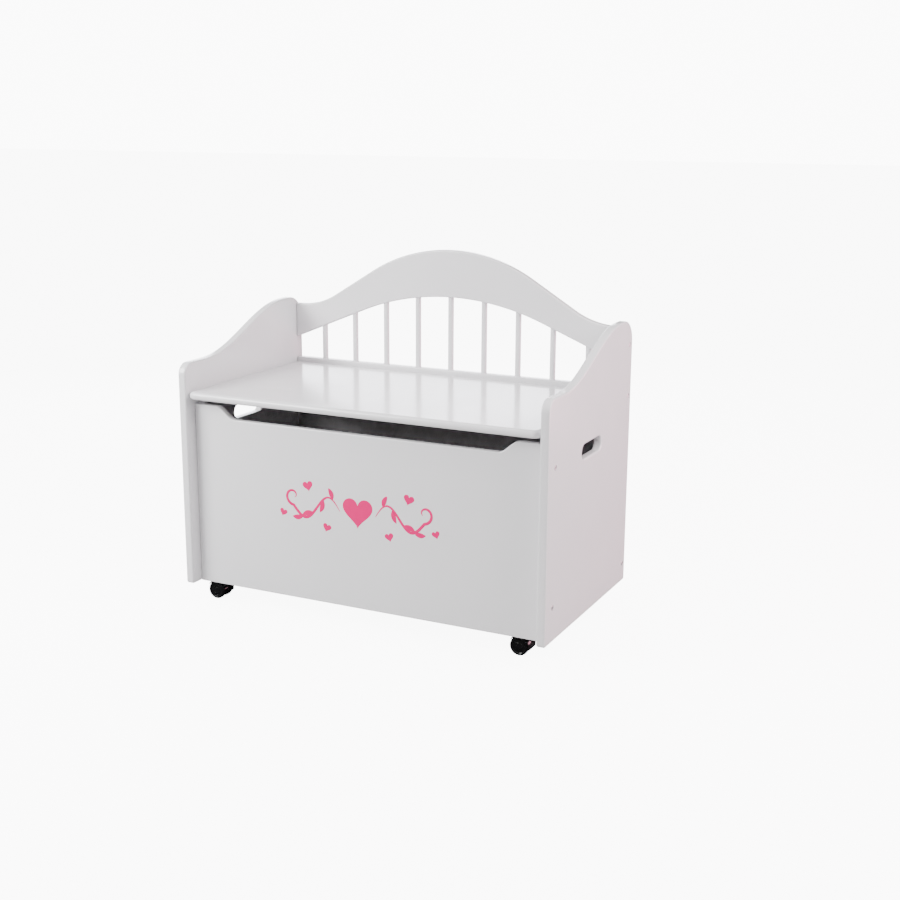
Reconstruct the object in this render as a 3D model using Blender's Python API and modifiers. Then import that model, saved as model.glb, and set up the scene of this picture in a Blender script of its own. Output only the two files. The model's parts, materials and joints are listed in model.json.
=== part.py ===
"""Bench toy box for a child's room: a lidded chest on four casters with winged
sides and a spindle back under an arched crest rail.

Frame: metres, +Z up, +X to the right of someone facing the box, front at -Y.
The origin is on the floor under the middle of the box.
"""
import math

import bmesh
import bpy
from mathutils import Matrix, Vector

# ---------------------------------------------------------------- clearances
GAP = 0.0003              # between pieces that touch
BOLT_CLEARANCE = 0.0003   # around a bolt's shank and head
DOWEL_CLEARANCE = 0.0003  # around a spindle in its socket
PIN_CLEARANCE = 0.0003    # around a hinge pin, a caster stem or an axle

# ------------------------------------------------------------ overall sizes
BOX_WIDTH = 0.846         # over the outer faces of the side panels
BOX_DEPTH = 0.463         # front edge to back edge of a side panel

# ------------------------------------------------------------------- boards
SIDE_THICK = 0.018
FRONT_THICK = 0.015
BACK_THICK = 0.018
BOTTOM_THICK = 0.012
LID_THICK = 0.016
FRONT_HEIGHT = 0.397      # lower edge to the top of the front panel
FRONT_RECESS = 0.030      # side panel's front edge to the front panel's face
BACK_INSET = 0.0074       # side panel's back edge to the back panel's back face
EDGE_ROUND = 0.0035       # rounding of the side panels' edges

# ---------------------------------------------------------------------- lid
LID_FRONT_GAP = 0.0145    # open slit between front panel and closed lid
LID_SIDE_GAP = 0.003
LID_REAR_GAP = 0.004
LID_NOSE_SETBACK = 0.0005 # lid's nose behind the side panels' front edges
LID_CORNER_RADIUS = 0.016
LID_NOSE_ROUND = 0.0065

# ---------------------------------------------------- finger scoop in front
SCOOP_DEPTH = 0.026
SCOOP_FROM_SIDE = 0.0545  # side panel's inner face to where the scoop begins
SCOOP_RUN = 0.046         # length of each S-curve down to the scoop's floor

# -------------------------------------------------------- wings of the sides
ARM_RISE = 0.0605         # lid's top to the low front part of the wing
WING_RISE = 0.1535        # lid's top to the high back part of the wing
ARM_LENGTH = 0.075        # level stretch at the front, corner included
WING_BACK_LENGTH = 0.067  # level stretch at the back, corner included
ARM_CORNER_RADIUS = 0.026
WING_CORNER_RADIUS = 0.048
SIDE_FOOT_RADIUS = 0.006  # small rounding of the lower corners
SLOT_LENGTH = 0.110
SLOT_HEIGHT = 0.030
SLOT_BELOW_LID = 0.0775   # lid's top to the middle of the hand slot
SLOT_FROM_FRONT = 0.232   # side panel's front edge to the middle of the slot

# --------------------------------------------------------------- back, crest
RAIL_RISE = 0.0095        # lid's top to the top of the back panel
CREST_RISE = 0.2802       # lid's top to the crown of the crest rail
CREST_DROP = 0.1427       # crown down to the rail's level ends
CREST_END_FLAT = 0.0145   # level stretch at each end of the rail's top
CREST_CROWN_RADIUS = 0.377
CREST_NECK_RADIUS = 0.179
CREST_UNDER_DEPTH = 0.1052  # crown of the top to the crown of the underside
CREST_UNDER_DROP = 0.1169   # underside's crown down to its ends
CREST_UNDER_RADIUS = 0.600
SPINDLE_COUNT = 9
SPINDLE_FROM_SIDE = 0.0746  # side panel's inner face to the outermost spindle's axis
SPINDLE_DIAMETER = 0.0127
SOCKET_DEPTH = 0.012

# --------------------------------------------------------------- bolts (M6)
BOLT_DIAMETER = 0.006
BOLT_HEAD_DIAMETER = 0.011
BOLT_CROWN_DIAMETER = 0.0077  # flat on top of the head
BOLT_HEAD_THICK = 0.0028
BOLT_HEAD_SUNK = 0.0002   # head's top below the side panel's face
BOLT_BITE = 0.030         # length of shank inside the joined board
FRONT_BOLT_INSETS = (0.045, 0.0715)   # below the top, above the lower edge
BACK_BOLT_INSETS = (0.0195, 0.0407)   # below the top, above the lower edge
CREST_BOLT_ABOVE_END = 0.0418         # above the rail's lower end

# ------------------------------------------------------------- inner strips
RUNNER_WIDTH = 0.065
RUNNER_THICK = 0.015
BATTEN_WIDTH = 0.015
REST_WIDTH = 0.015
REST_HEIGHT = 0.018

# --------------------------------------------------------------- lid hinges
HINGE_SETBACK = 0.060     # lid's rear edge forward to the hinge axis
HINGE_DROP = 0.0085       # lid's underside down to the hinge axis
HINGE_PIN_DIAMETER = 0.006
HINGE_PIN_HEAD_DIAMETER = 0.0115
HINGE_PIN_CROWN_DIAMETER = 0.0092  # flat on top of the head
HINGE_PIN_HEAD_THICK = 0.0025
BOX_LEAF_THICK = 0.0025
BOX_LEAF_WIDTH = 0.032
BOX_LEAF_ABOVE_AXIS = 0.005
BOX_LEAF_BELOW_AXIS = 0.040
LID_LEAF_THICK = 0.002
LID_LEAF_WIDTH = 0.030
LID_LEAF_REACH = 0.030
LID_LEAF_BELOW_AXIS = 0.007
LEAF_SPACING = 0.001      # between the fixed and the moving leaf
REST_TO_HINGE = 0.022     # end of the lid rest to the hinge axis

# ------------------------------------------------------------------ casters
CASTER_FROM_SIDE = 0.058  # side panel's outer face to the swivel axis
CASTER_FROM_END = 0.070   # side panel's front or back edge to the swivel axis
CASTER_TURN = math.pi     # about the swivel axis, from trailing along +X
WHEEL_DIAMETER = 0.040
WHEEL_WIDTH = 0.012
WHEEL_TREAD_ROUND = 0.002
WHEEL_CAP_THICK = 0.003
WEB_THICK = 0.012         # housing's rib between the two wheels
WEB_LOW_RADIUS = 0.015    # the rib's reach below the axle
WHEEL_SIDE_GAP = 0.0005
AXLE_DIAMETER = 0.006
HOOD_CLEARANCE = 0.0012   # tread to the inside of the hood
HOOD_THICK = 0.0022
HOOD_OVERHANG = 0.0008    # hood's side beyond the wheel's face
HOOD_ANGLES = (35.0, 195.0)  # from the trailing side, over the top
HOOD_TO_PLATE = 0.0008    # top of the hood to the plate's underside
PLATE_SIZE = 0.038
PLATE_THICK = 0.0025
RACEWAY_DIAMETER = 0.020
RACEWAY_HEIGHT = 0.0014
STEM_DIAMETER = 0.007
STEM_END_ABOVE_AXLE = 0.0007
STEM_WALL = 0.0016        # hood's outer face to the stem's socket
BOSS_DIAMETER = 0.0116
BOSS_FOOT_ABOVE_AXLE = 0.006

# ------------------------------------------------- meshing, angles in degrees
FLAT_ANGLE = 0.1          # faces closer than this to one plane are joined
BEVEL_ANGLE = 50.0        # edges sharper than this are rounded
SMOOTH_ANGLE = 35.0       # edges sharper than this are shaded sharp

# ------------------------------------------------------------ derived places
WHEEL_RADIUS = WHEEL_DIAMETER / 2
WHEEL_INNER_FACE = WEB_THICK / 2 + WHEEL_SIDE_GAP
HOOD_INNER_RADIUS = WHEEL_RADIUS + HOOD_CLEARANCE
HOOD_OUTER_RADIUS = HOOD_INNER_RADIUS + HOOD_THICK
STEM_SOCKET_RADIUS = STEM_DIAMETER / 2 + PIN_CLEARANCE
CASTER_TRAIL = HOOD_OUTER_RADIUS - STEM_WALL - STEM_SOCKET_RADIUS  # swivel axis to axle
PLATE_UNDER_Z = WHEEL_RADIUS + HOOD_OUTER_RADIUS + HOOD_TO_PLATE
PLATE_TOP_Z = PLATE_UNDER_Z + PLATE_THICK
RACEWAY_UNDER_Z = PLATE_UNDER_Z - RACEWAY_HEIGHT
BOSS_TOP_Z = RACEWAY_UNDER_Z - GAP
STEM_END_Z = WHEEL_RADIUS + STEM_END_ABOVE_AXLE
STEM_SOCKET_Z = STEM_END_Z - 2 * PIN_CLEARANCE
PANEL_BASE = PLATE_TOP_Z + GAP  # lower edges of the panels, above the floor
HALF_WIDTH = BOX_WIDTH / 2
FRONT_Y = -BOX_DEPTH / 2
BACK_Y = BOX_DEPTH / 2
INNER_X = HALF_WIDTH - SIDE_THICK
FIT_X = INNER_X - GAP
FRONT_FACE_Y = FRONT_Y + FRONT_RECESS
FRONT_INNER_Y = FRONT_FACE_Y + FRONT_THICK
BACK_MID_Y = BACK_Y - BACK_INSET - BACK_THICK / 2
BACK_FACE_Y = BACK_MID_Y - BACK_THICK / 2
FRONT_TOP_Z = PANEL_BASE + FRONT_HEIGHT
LID_UNDER_Z = FRONT_TOP_Z + LID_FRONT_GAP
LID_TOP_Z = LID_UNDER_Z + LID_THICK
LID_FRONT_Y = FRONT_Y + LID_NOSE_SETBACK
LID_REAR_Y = BACK_FACE_Y - LID_REAR_GAP
LID_HALF_WIDTH = INNER_X - LID_SIDE_GAP
RAIL_TOP_Z = LID_TOP_Z + RAIL_RISE
CREST_TOP_Z = LID_TOP_Z + CREST_RISE
CREST_UNDER_Z = CREST_TOP_Z - CREST_UNDER_DEPTH
CREST_UNDER_END_Z = CREST_UNDER_Z - CREST_UNDER_DROP
SCOOP_HALF_WIDTH = INNER_X - SCOOP_FROM_SIDE
SPINDLE_PITCH = 2 * (INNER_X - SPINDLE_FROM_SIDE) / (SPINDLE_COUNT - 1)
HINGE_Y = LID_REAR_Y - HINGE_SETBACK
HINGE_Z = LID_UNDER_Z - HINGE_DROP
BOTTOM_UNDER_Z = PANEL_BASE + RUNNER_THICK + GAP
SIDES = (("left", -1), ("right", 1))
CORNERS = (("front_left", -1, -1), ("front_right", 1, -1), ("back_left", -1, 1), ("back_right", 1, 1))

# Rotations of a flat outline: its own x and y lie along the named world axes.
ROT_XZ = (math.pi / 2, 0.0, 0.0)             # x -> X, y -> Z
ROT_YZ = (math.pi / 2, 0.0, math.pi / 2)     # x -> Y, y -> Z
ROT_AXIS_Y = (-math.pi / 2, 0.0, 0.0)        # a turned piece's axis along Y


# ------------------------------------------------------------------- helpers
def clear_scene():
    for old in list(bpy.data.objects):
        bpy.data.objects.remove(old, do_unlink=True)


def new_collection(name):
    collection = bpy.data.collections.new(name)
    bpy.context.scene.collection.children.link(collection)
    return collection


def new_material(name, colour, roughness, metallic=0.0):
    material = bpy.data.materials.new(name)
    material.use_nodes = True
    shader = material.node_tree.nodes["Principled BSDF"]
    shader.inputs["Base Color"].default_value = (*colour, 1.0)
    shader.inputs["Roughness"].default_value = roughness
    shader.inputs["Metallic"].default_value = metallic
    material.diffuse_color = (*colour, 1.0)
    return material


def link_part(name, mesh, material, place=(0, 0, 0), turn=(0, 0, 0), parent=None, smooth=False):
    """Make the one named object of a sub-part."""
    part = bpy.data.objects.new(name, mesh)
    PARTS.objects.link(part)
    if not mesh.materials:
        mesh.materials.append(material)
    if smooth:
        mesh.shade_smooth()
        mesh.set_sharp_from_angle(angle=math.radians(SMOOTH_ANGLE))
    part.location = place
    part.rotation_euler = turn
    part.parent = parent
    return part


def new_empty(name, place, turn=(0, 0, 0), parent=None):
    empty = bpy.data.objects.new(name, None)
    empty.empty_display_size = 0.02
    PARTS.objects.link(empty)
    empty.location = place
    empty.rotation_euler = turn
    empty.parent = parent
    return empty


def box_mesh(name, low, high):
    """A box between two corners."""
    low, high = Vector(low), Vector(high)
    bm = bmesh.new()
    bmesh.ops.create_cube(bm, size=1.0)
    bmesh.ops.scale(bm, vec=high - low, verts=bm.verts)
    bmesh.ops.translate(bm, vec=(high + low) / 2, verts=bm.verts)
    return finish_mesh(bm, name)


def cylinders_mesh(name, cylinders, segments):
    """One mesh of closed cylinders, each (middle, axis, radius, length)."""
    bm = bmesh.new()
    for middle, axis, radius, length in cylinders:
        turn = Vector(axis).to_track_quat("Z", "Y").to_matrix().to_4x4()
        bmesh.ops.create_cone(bm, cap_ends=True, segments=segments, radius1=radius,
                              radius2=radius, depth=length,
                              matrix=Matrix.Translation(middle) @ turn)
    return finish_mesh(bm, name)


def finish_mesh(bm, name):
    mesh = bpy.data.meshes.new(name)
    bm.to_mesh(mesh)
    bm.free()
    return mesh


def evaluated_mesh(source, name):
    """The mesh that an object's curve or modifiers make, welded."""
    bpy.context.view_layer.update()
    depsgraph = bpy.context.evaluated_depsgraph_get()
    mesh = bpy.data.meshes.new_from_object(source.evaluated_get(depsgraph))
    mesh.name = name
    bm = bmesh.new()
    bm.from_mesh(mesh)
    bmesh.ops.remove_doubles(bm, verts=bm.verts, dist=1e-6)
    bm.to_mesh(mesh)
    bm.free()
    return mesh


def merge_flat_faces(mesh):
    """Join the triangles of a flat face into one face, so that its edges bevel evenly."""
    bm = bmesh.new()
    bm.from_mesh(mesh)
    bmesh.ops.dissolve_limit(bm, angle_limit=math.radians(FLAT_ANGLE), verts=[], edges=bm.edges)
    bm.to_mesh(mesh)
    bm.free()


def outline_mesh(name, outline, thickness):
    """A board: a flat outline thickened equally to both sides of its plane."""
    curve = bpy.data.curves.new(name, "CURVE")
    curve.dimensions = "2D"
    curve.fill_mode = "BOTH"
    curve.extrude = thickness / 2
    spline = curve.splines.new("POLY")
    spline.points.add(len(outline) - 1)
    for point, (x, y) in zip(spline.points, outline):
        point.co = (x, y, 0.0, 1.0)
    spline.use_cyclic_u = True
    holder = bpy.data.objects.new(name + "_outline", curve)
    bpy.context.scene.collection.objects.link(holder)
    mesh = evaluated_mesh(holder, name)
    bpy.data.objects.remove(holder, do_unlink=True)
    bpy.data.curves.remove(curve)
    merge_flat_faces(mesh)
    return mesh


def turned_mesh(name, profile, steps, closed=False):
    """A turned shape about Z: its profile of (radius, height) runs down the outside."""
    mesh = bpy.data.meshes.new(name + "_profile")
    edges = [(i, i + 1) for i in range(len(profile) - 1)]
    if closed:
        edges.append((len(profile) - 1, 0))
    mesh.from_pydata([(radius, 0.0, height) for radius, height in profile], edges, [])
    holder = bpy.data.objects.new(name + "_profile", mesh)
    bpy.context.scene.collection.objects.link(holder)
    screw = holder.modifiers.new("turn", "SCREW")
    screw.steps = steps
    screw.render_steps = steps
    screw.use_merge_vertices = True
    screw.merge_threshold = 0.00001
    turned = evaluated_mesh(holder, name)
    bpy.data.objects.remove(holder, do_unlink=True)
    bpy.data.meshes.remove(mesh)
    return turned


def cutter(name, mesh, place=(0, 0, 0), turn=(0, 0, 0)):
    tool = bpy.data.objects.new(name, mesh)
    CUTTERS.objects.link(tool)
    tool.location = place
    tool.rotation_euler = turn
    tool.hide_render = True
    tool.display_type = "WIRE"
    return tool


def combine(target, tool, operation="DIFFERENCE"):
    boolean = target.modifiers.new(operation.lower() + "_" + tool.name, "BOOLEAN")
    boolean.operation = operation
    boolean.solver = "EXACT"
    boolean.object = tool
    return boolean


def round_edges(target, width, segments):
    bevel = target.modifiers.new("rounded_edges", "BEVEL")
    bevel.width = width
    bevel.segments = segments
    bevel.limit_method = "ANGLE"
    bevel.angle_limit = math.radians(BEVEL_ANGLE)
    return bevel


def settle(prototype, tools, name):
    """Turn a prototype and its Boolean tools into one plain mesh, and clear them away."""
    mesh = evaluated_mesh(prototype, name)
    mesh.transform(prototype.matrix_world)
    for used in (prototype, *tools):
        bpy.data.objects.remove(used, do_unlink=True)
    return mesh


# ------------------------------------------------------------------ outlines
def arc(centre_x, centre_y, radius, start_deg, end_deg, steps):
    """Points along an arc, both ends included."""
    angles = [math.radians(start_deg + (end_deg - start_deg) * i / steps) for i in range(steps + 1)]
    return [(centre_x + radius * math.cos(a), centre_y + radius * math.sin(a)) for a in angles]


def s_curve(x_start, x_end, y_start, y_end, steps):
    """Half a cosine wave from one level to another, both ends included."""
    points = []
    for i in range(steps + 1):
        share = i / steps
        ease = (1 - math.cos(math.pi * share)) / 2
        points.append((x_start + (x_end - x_start) * share, y_start + (y_end - y_start) * ease))
    return points


def crown_curve(half_span, drop, crown_radius, neck_radius, crown_steps, neck_steps):
    """Right half of an arched edge: from (0, 0) at its crown to (half_span, -drop).

    A convex crown arc, a straight slope tangent to it and, with a neck radius, a
    concave arc that ends level. The slope's angle a follows from the sizes:
    (r - drop) cos a + half_span sin a = r, where r is the sum of both radii.
    """
    radii = crown_radius + neck_radius
    limit = (half_span ** 2 + drop ** 2) / (2 * drop)
    shrink = min(1.0, 0.999 * limit / radii)
    crown, neck = crown_radius * shrink, neck_radius * shrink
    radii = crown + neck
    reach = math.hypot(half_span, radii - drop)
    slope = math.atan2(half_span, radii - drop) - math.acos(radii / reach)
    slope_deg = math.degrees(slope)
    points = arc(0.0, -crown, crown, 90.0, 90.0 - slope_deg, crown_steps)
    if neck_radius > 0:
        points += arc(half_span, neck - drop, neck, 270.0 - slope_deg, 270.0, neck_steps)
    else:
        points.append((half_span, -drop))
    return points


def mirrored(right_half):
    """A right half and its mirror image, from the left end to the right end."""
    left = [(-x, y) for x, y in reversed(right_half)]
    return left + right_half[1:]


def side_outline():
    """Side panel seen from +X: x is the distance behind its middle, y the height."""
    arm_z = LID_TOP_Z + ARM_RISE
    wing_z = LID_TOP_Z + WING_RISE
    foot = SIDE_FOOT_RADIUS
    points = arc(FRONT_Y + foot, PANEL_BASE + foot, foot, 270, 180, 2)
    points += arc(FRONT_Y + ARM_CORNER_RADIUS, arm_z - ARM_CORNER_RADIUS, ARM_CORNER_RADIUS, 180, 90, 6)
    points += s_curve(FRONT_Y + ARM_LENGTH, BACK_Y - WING_BACK_LENGTH, arm_z, wing_z, 14)
    points += arc(BACK_Y - WING_CORNER_RADIUS, wing_z - WING_CORNER_RADIUS, WING_CORNER_RADIUS, 90, 0, 7)
    points += arc(BACK_Y - foot, PANEL_BASE + foot, foot, 0, -90, 2)
    return points


def slot_outline():
    """Hand slot with round ends, about its own middle."""
    radius = SLOT_HEIGHT / 2
    half = SLOT_LENGTH / 2 - radius
    return arc(half, 0, radius, -90, 90, 8) + arc(-half, 0, radius, 90, 270, 8)


def front_outline():
    """Front panel with the finger scoop in its top edge."""
    floor_z = FRONT_TOP_Z - SCOOP_DEPTH
    right = s_curve(SCOOP_HALF_WIDTH - SCOOP_RUN, SCOOP_HALF_WIDTH, floor_z, FRONT_TOP_Z, 8)
    left = [(-x, z) for x, z in reversed(right)]
    corners = [(-FIT_X, FRONT_TOP_Z), (-FIT_X, PANEL_BASE), (FIT_X, PANEL_BASE), (FIT_X, FRONT_TOP_Z)]
    return list(reversed(right)) + list(reversed(left)) + corners


def crest_under_curve():
    return crown_curve(FIT_X, CREST_UNDER_DROP, CREST_UNDER_RADIUS, 0.0, 9, 0)


def crest_outline():
    """Crest rail: an arched top with level ends over an arched underside."""
    top = crown_curve(FIT_X - CREST_END_FLAT, CREST_DROP, CREST_CROWN_RADIUS, CREST_NECK_RADIUS, 9, 6)
    top.append((FIT_X, -CREST_DROP))
    upper = [(x, CREST_TOP_Z + z) for x, z in mirrored(top)]
    lower = [(x, CREST_UNDER_Z + z) for x, z in mirrored(crest_under_curve())]
    return upper + list(reversed(lower))


def crest_under_z(x):
    """Height of the crest rail's underside at a distance from its middle."""
    half = crest_under_curve()
    for (x0, z0), (x1, z1) in zip(half, half[1:]):
        if abs(x) <= x1:
            return CREST_UNDER_Z + z0 + (z1 - z0) * (abs(x) - x0) / (x1 - x0)
    raise ValueError("no crest rail above this spindle")


def lid_outline():
    """Lid from above, with rounded front corners."""
    radius = LID_CORNER_RADIUS
    inner = LID_HALF_WIDTH - radius
    front = arc(-inner, LID_FRONT_Y + radius, radius, 180, 270, 5)
    front += arc(inner, LID_FRONT_Y + radius, radius, 270, 360, 5)
    return front + [(LID_HALF_WIDTH, LID_REAR_Y), (-LID_HALF_WIDTH, LID_REAR_Y)]


# ---------------------------------------------------------------- bolt places
def bolt_places():
    """Y and Z of the five bolts through each side panel, front to back."""
    front_y = FRONT_FACE_Y + FRONT_THICK / 2
    return [
        (front_y, FRONT_TOP_Z - FRONT_BOLT_INSETS[0]),
        (front_y, PANEL_BASE + FRONT_BOLT_INSETS[1]),
        (BACK_MID_Y, RAIL_TOP_Z - BACK_BOLT_INSETS[0]),
        (BACK_MID_Y, PANEL_BASE + BACK_BOLT_INSETS[1]),
        (BACK_MID_Y, CREST_UNDER_END_Z + CREST_BOLT_ABOVE_END),
    ]


def bolt_holes(places, from_x, to_x, radius):
    """Cylinders along X at the given places on both sides of the box."""
    middle = (from_x + to_x) / 2
    length = abs(to_x - from_x)
    return [((sign * middle, y, z), (1, 0, 0), radius, length) for _, sign in SIDES for y, z in places]


def shank_holes(places):
    return bolt_holes(places, HALF_WIDTH + 0.01, INNER_X - BOLT_BITE - 2 * BOLT_CLEARANCE,
                      BOLT_DIAMETER / 2 + BOLT_CLEARANCE)


# -------------------------------------------------------------------- panels
def build_side_panels(white):
    head_floor = HALF_WIDTH - BOLT_HEAD_SUNK - BOLT_HEAD_THICK - BOLT_CLEARANCE
    heads = bolt_holes(bolt_places(), HALF_WIDTH + 0.01, head_floor,
                       BOLT_HEAD_DIAMETER / 2 + BOLT_CLEARANCE)
    shank_mesh = cylinders_mesh("side_shank_holes", shank_holes(bolt_places()), 12)
    shanks = cutter("cutter_side_shank_holes", shank_mesh)
    recesses = cutter("cutter_side_head_recesses", cylinders_mesh("side_head_recesses", heads, 16))
    slot = cutter("cutter_hand_slots", outline_mesh("hand_slots", slot_outline(), BOX_WIDTH + 0.02),
                  place=(0, FRONT_Y + SLOT_FROM_FRONT, LID_TOP_Z - SLOT_BELOW_LID), turn=ROT_YZ)
    for side, sign in SIDES:
        mesh = outline_mesh("side_panel_" + side, side_outline(), SIDE_THICK)
        panel = link_part("side_panel_" + side, mesh, white,
                          place=(sign * (HALF_WIDTH - SIDE_THICK / 2), 0, 0), turn=ROT_YZ)
        round_edges(panel, EDGE_ROUND, 2)
        for tool in (slot, shanks, recesses):
            combine(panel, tool)


def build_front_panel(white):
    panel = link_part("front_panel", outline_mesh("front_panel", front_outline(), FRONT_THICK), white,
                      place=(0, FRONT_FACE_Y + FRONT_THICK / 2, 0), turn=ROT_XZ)
    holes = cylinders_mesh("front_bolt_holes", shank_holes(bolt_places()[:2]), 12)
    combine(panel, cutter("cutter_front_bolt_holes", holes))


def spindle_xs():
    middle = (SPINDLE_COUNT - 1) / 2
    return [(i - middle) * SPINDLE_PITCH for i in range(SPINDLE_COUNT)]


def spindle_ends(x):
    """Heights of a spindle's lower and upper end, a little short of its sockets' floors."""
    low = RAIL_TOP_Z - SOCKET_DEPTH + DOWEL_CLEARANCE
    high = crest_under_z(x) + SOCKET_DEPTH - DOWEL_CLEARANCE
    return low, high


def spindle_sockets(name):
    """Cutter for every spindle's sockets in the back panel and the crest rail."""
    radius = SPINDLE_DIAMETER / 2 + DOWEL_CLEARANCE
    sockets = []
    for x in spindle_xs():
        low, high = spindle_ends(x)
        middle = (low + high) / 2
        sockets.append(((x, BACK_MID_Y, middle), (0, 0, 1), radius, high - low + 2 * DOWEL_CLEARANCE))
    return cutter(name, cylinders_mesh(name, sockets, 16))


def build_back(white):
    sockets = spindle_sockets("cutter_spindle_sockets")
    low = (-FIT_X, BACK_FACE_Y, PANEL_BASE)
    high = (FIT_X, BACK_FACE_Y + BACK_THICK, RAIL_TOP_Z)
    panel = link_part("back_panel", box_mesh("back_panel", low, high), white)
    combine(panel, sockets)
    holes = cylinders_mesh("back_bolt_holes", shank_holes(bolt_places()[2:4]), 12)
    combine(panel, cutter("cutter_back_bolt_holes", holes))
    crest = link_part("crest_rail", outline_mesh("crest_rail", crest_outline(), BACK_THICK), white,
                      place=(0, BACK_MID_Y, 0), turn=ROT_XZ)
    combine(crest, sockets)
    holes = cylinders_mesh("crest_bolt_holes", shank_holes(bolt_places()[4:]), 12)
    combine(crest, cutter("cutter_crest_bolt_holes", holes))
    for number, x in enumerate(spindle_xs(), start=1):
        low_z, high_z = spindle_ends(x)
        middle = (x, BACK_MID_Y, (low_z + high_z) / 2)
        dowel = [((0, 0, 0), (0, 0, 1), SPINDLE_DIAMETER / 2, high_z - low_z)]
        name = "spindle_%d" % number
        link_part(name, cylinders_mesh(name, dowel, 16), white, place=middle, smooth=True)


def build_floor(white):
    low_y, high_y = FRONT_INNER_Y + GAP, BACK_FACE_Y - GAP
    bottom = box_mesh("bottom_panel", (-FIT_X, low_y, BOTTOM_UNDER_Z),
                      (FIT_X, high_y, BOTTOM_UNDER_Z + BOTTOM_THICK))
    link_part("bottom_panel", bottom, white)
    runner_inner = FIT_X - RUNNER_WIDTH
    for side, sign in SIDES:
        x_low, x_high = sorted((sign * FIT_X, sign * runner_inner))
        name = "caster_runner_" + side
        strip = box_mesh(name, (x_low, low_y, PANEL_BASE), (x_high, high_y, PANEL_BASE + RUNNER_THICK))
        link_part(name, strip, white)
    for end, y_start in (("front", low_y), ("back", high_y - BATTEN_WIDTH)):
        name = "bottom_batten_" + end
        strip = box_mesh(name, (-runner_inner + GAP, y_start, PANEL_BASE),
                         (runner_inner - GAP, y_start + BATTEN_WIDTH, PANEL_BASE + RUNNER_THICK))
        link_part(name, strip, white)


def build_bolts(steel):
    """Button-head bolts, each turned about X with its head outwards."""
    head, crown, shank = BOLT_HEAD_DIAMETER / 2, BOLT_CROWN_DIAMETER / 2, BOLT_DIAMETER / 2
    length = SIDE_THICK - BOLT_HEAD_SUNK - BOLT_HEAD_THICK + BOLT_BITE
    profile = [(0, 0), (crown, 0), (head, -BOLT_HEAD_THICK / 2), (head, -BOLT_HEAD_THICK),
               (shank, -BOLT_HEAD_THICK), (shank, -BOLT_HEAD_THICK - length), (0, -BOLT_HEAD_THICK - length)]
    mesh = turned_mesh("side_bolt", profile, 12)
    for side, sign in SIDES:
        turn = (0, sign * math.pi / 2, 0)
        for number, (y, z) in enumerate(bolt_places(), start=1):
            place = (sign * (HALF_WIDTH - BOLT_HEAD_SUNK), y, z)
            link_part("side_bolt_%s_%d" % (side, number), mesh, steel, place=place, turn=turn, smooth=True)


# ------------------------------------------------------------- lid and hinges
def build_lid(white, steel, dark_steel):
    hinge = new_empty("lid_hinge_axis", (0, HINGE_Y, HINGE_Z))
    lid_z = LID_UNDER_Z + LID_THICK / 2
    lid = link_part("lid", outline_mesh("lid", lid_outline(), LID_THICK), white,
                    place=(0, -HINGE_Y, lid_z - HINGE_Z), parent=hinge)
    round_edges(lid, LID_NOSE_ROUND, 3)
    box_leaf_inner = FIT_X - BOX_LEAF_THICK
    ear_outer = box_leaf_inner - LEAF_SPACING
    ear_inner = ear_outer - LID_LEAF_THICK
    hole_radius = HINGE_PIN_DIAMETER / 2 + PIN_CLEARANCE
    axis_hole = [((0, HINGE_Y, HINGE_Z), (1, 0, 0), hole_radius, BOX_WIDTH)]
    pin_holes = cutter("cutter_hinge_pin_holes", cylinders_mesh("hinge_pin_holes", axis_hole, 16))
    pin, head, crown = HINGE_PIN_DIAMETER / 2, HINGE_PIN_HEAD_DIAMETER / 2, HINGE_PIN_CROWN_DIAMETER / 2
    pin_length = FIT_X - GAP - ear_inner + 2 * GAP
    pin_mesh = turned_mesh("lid_hinge_pin", [
        (0, HINGE_PIN_HEAD_THICK), (crown, HINGE_PIN_HEAD_THICK), (head, HINGE_PIN_HEAD_THICK / 2),
        (head, 0), (pin, 0), (pin, -pin_length), (0, -pin_length)], 16)
    leaf_top = HINGE_DROP - GAP
    for side, sign in SIDES:
        rest_inner = FIT_X - REST_WIDTH
        x_low, x_high = sorted((sign * FIT_X, sign * rest_inner))
        rest = box_mesh("lid_rest_" + side, (x_low, FRONT_INNER_Y + GAP, LID_UNDER_Z - GAP - REST_HEIGHT),
                        (x_high, HINGE_Y - REST_TO_HINGE, LID_UNDER_Z - GAP))
        link_part("lid_rest_" + side, rest, white)
        x_low, x_high = sorted((sign * FIT_X, sign * box_leaf_inner))
        leaf = box_mesh("lid_hinge_%s_box_leaf" % side,
                        (x_low, HINGE_Y - BOX_LEAF_WIDTH / 2, HINGE_Z - BOX_LEAF_BELOW_AXIS),
                        (x_high, HINGE_Y + BOX_LEAF_WIDTH / 2, HINGE_Z + BOX_LEAF_ABOVE_AXIS))
        combine(link_part("lid_hinge_%s_box_leaf" % side, leaf, steel), pin_holes)
        angle = [(sign * ear_outer, leaf_top), (sign * ear_outer, -LID_LEAF_BELOW_AXIS),
                 (sign * ear_inner, -LID_LEAF_BELOW_AXIS), (sign * ear_inner, leaf_top - LID_LEAF_THICK),
                 (sign * (ear_outer - LID_LEAF_REACH), leaf_top - LID_LEAF_THICK),
                 (sign * (ear_outer - LID_LEAF_REACH), leaf_top)]
        name = "lid_hinge_%s_lid_leaf" % side
        lid_leaf = link_part(name, outline_mesh(name, angle, LID_LEAF_WIDTH), steel, turn=ROT_XZ, parent=hinge)
        combine(lid_leaf, pin_holes)
        link_part("lid_hinge_%s_pin" % side, pin_mesh, dark_steel,
                  place=(sign * (ear_inner - GAP), HINGE_Y, HINGE_Z), turn=(0, -sign * math.pi / 2, 0),
                  smooth=True)


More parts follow.
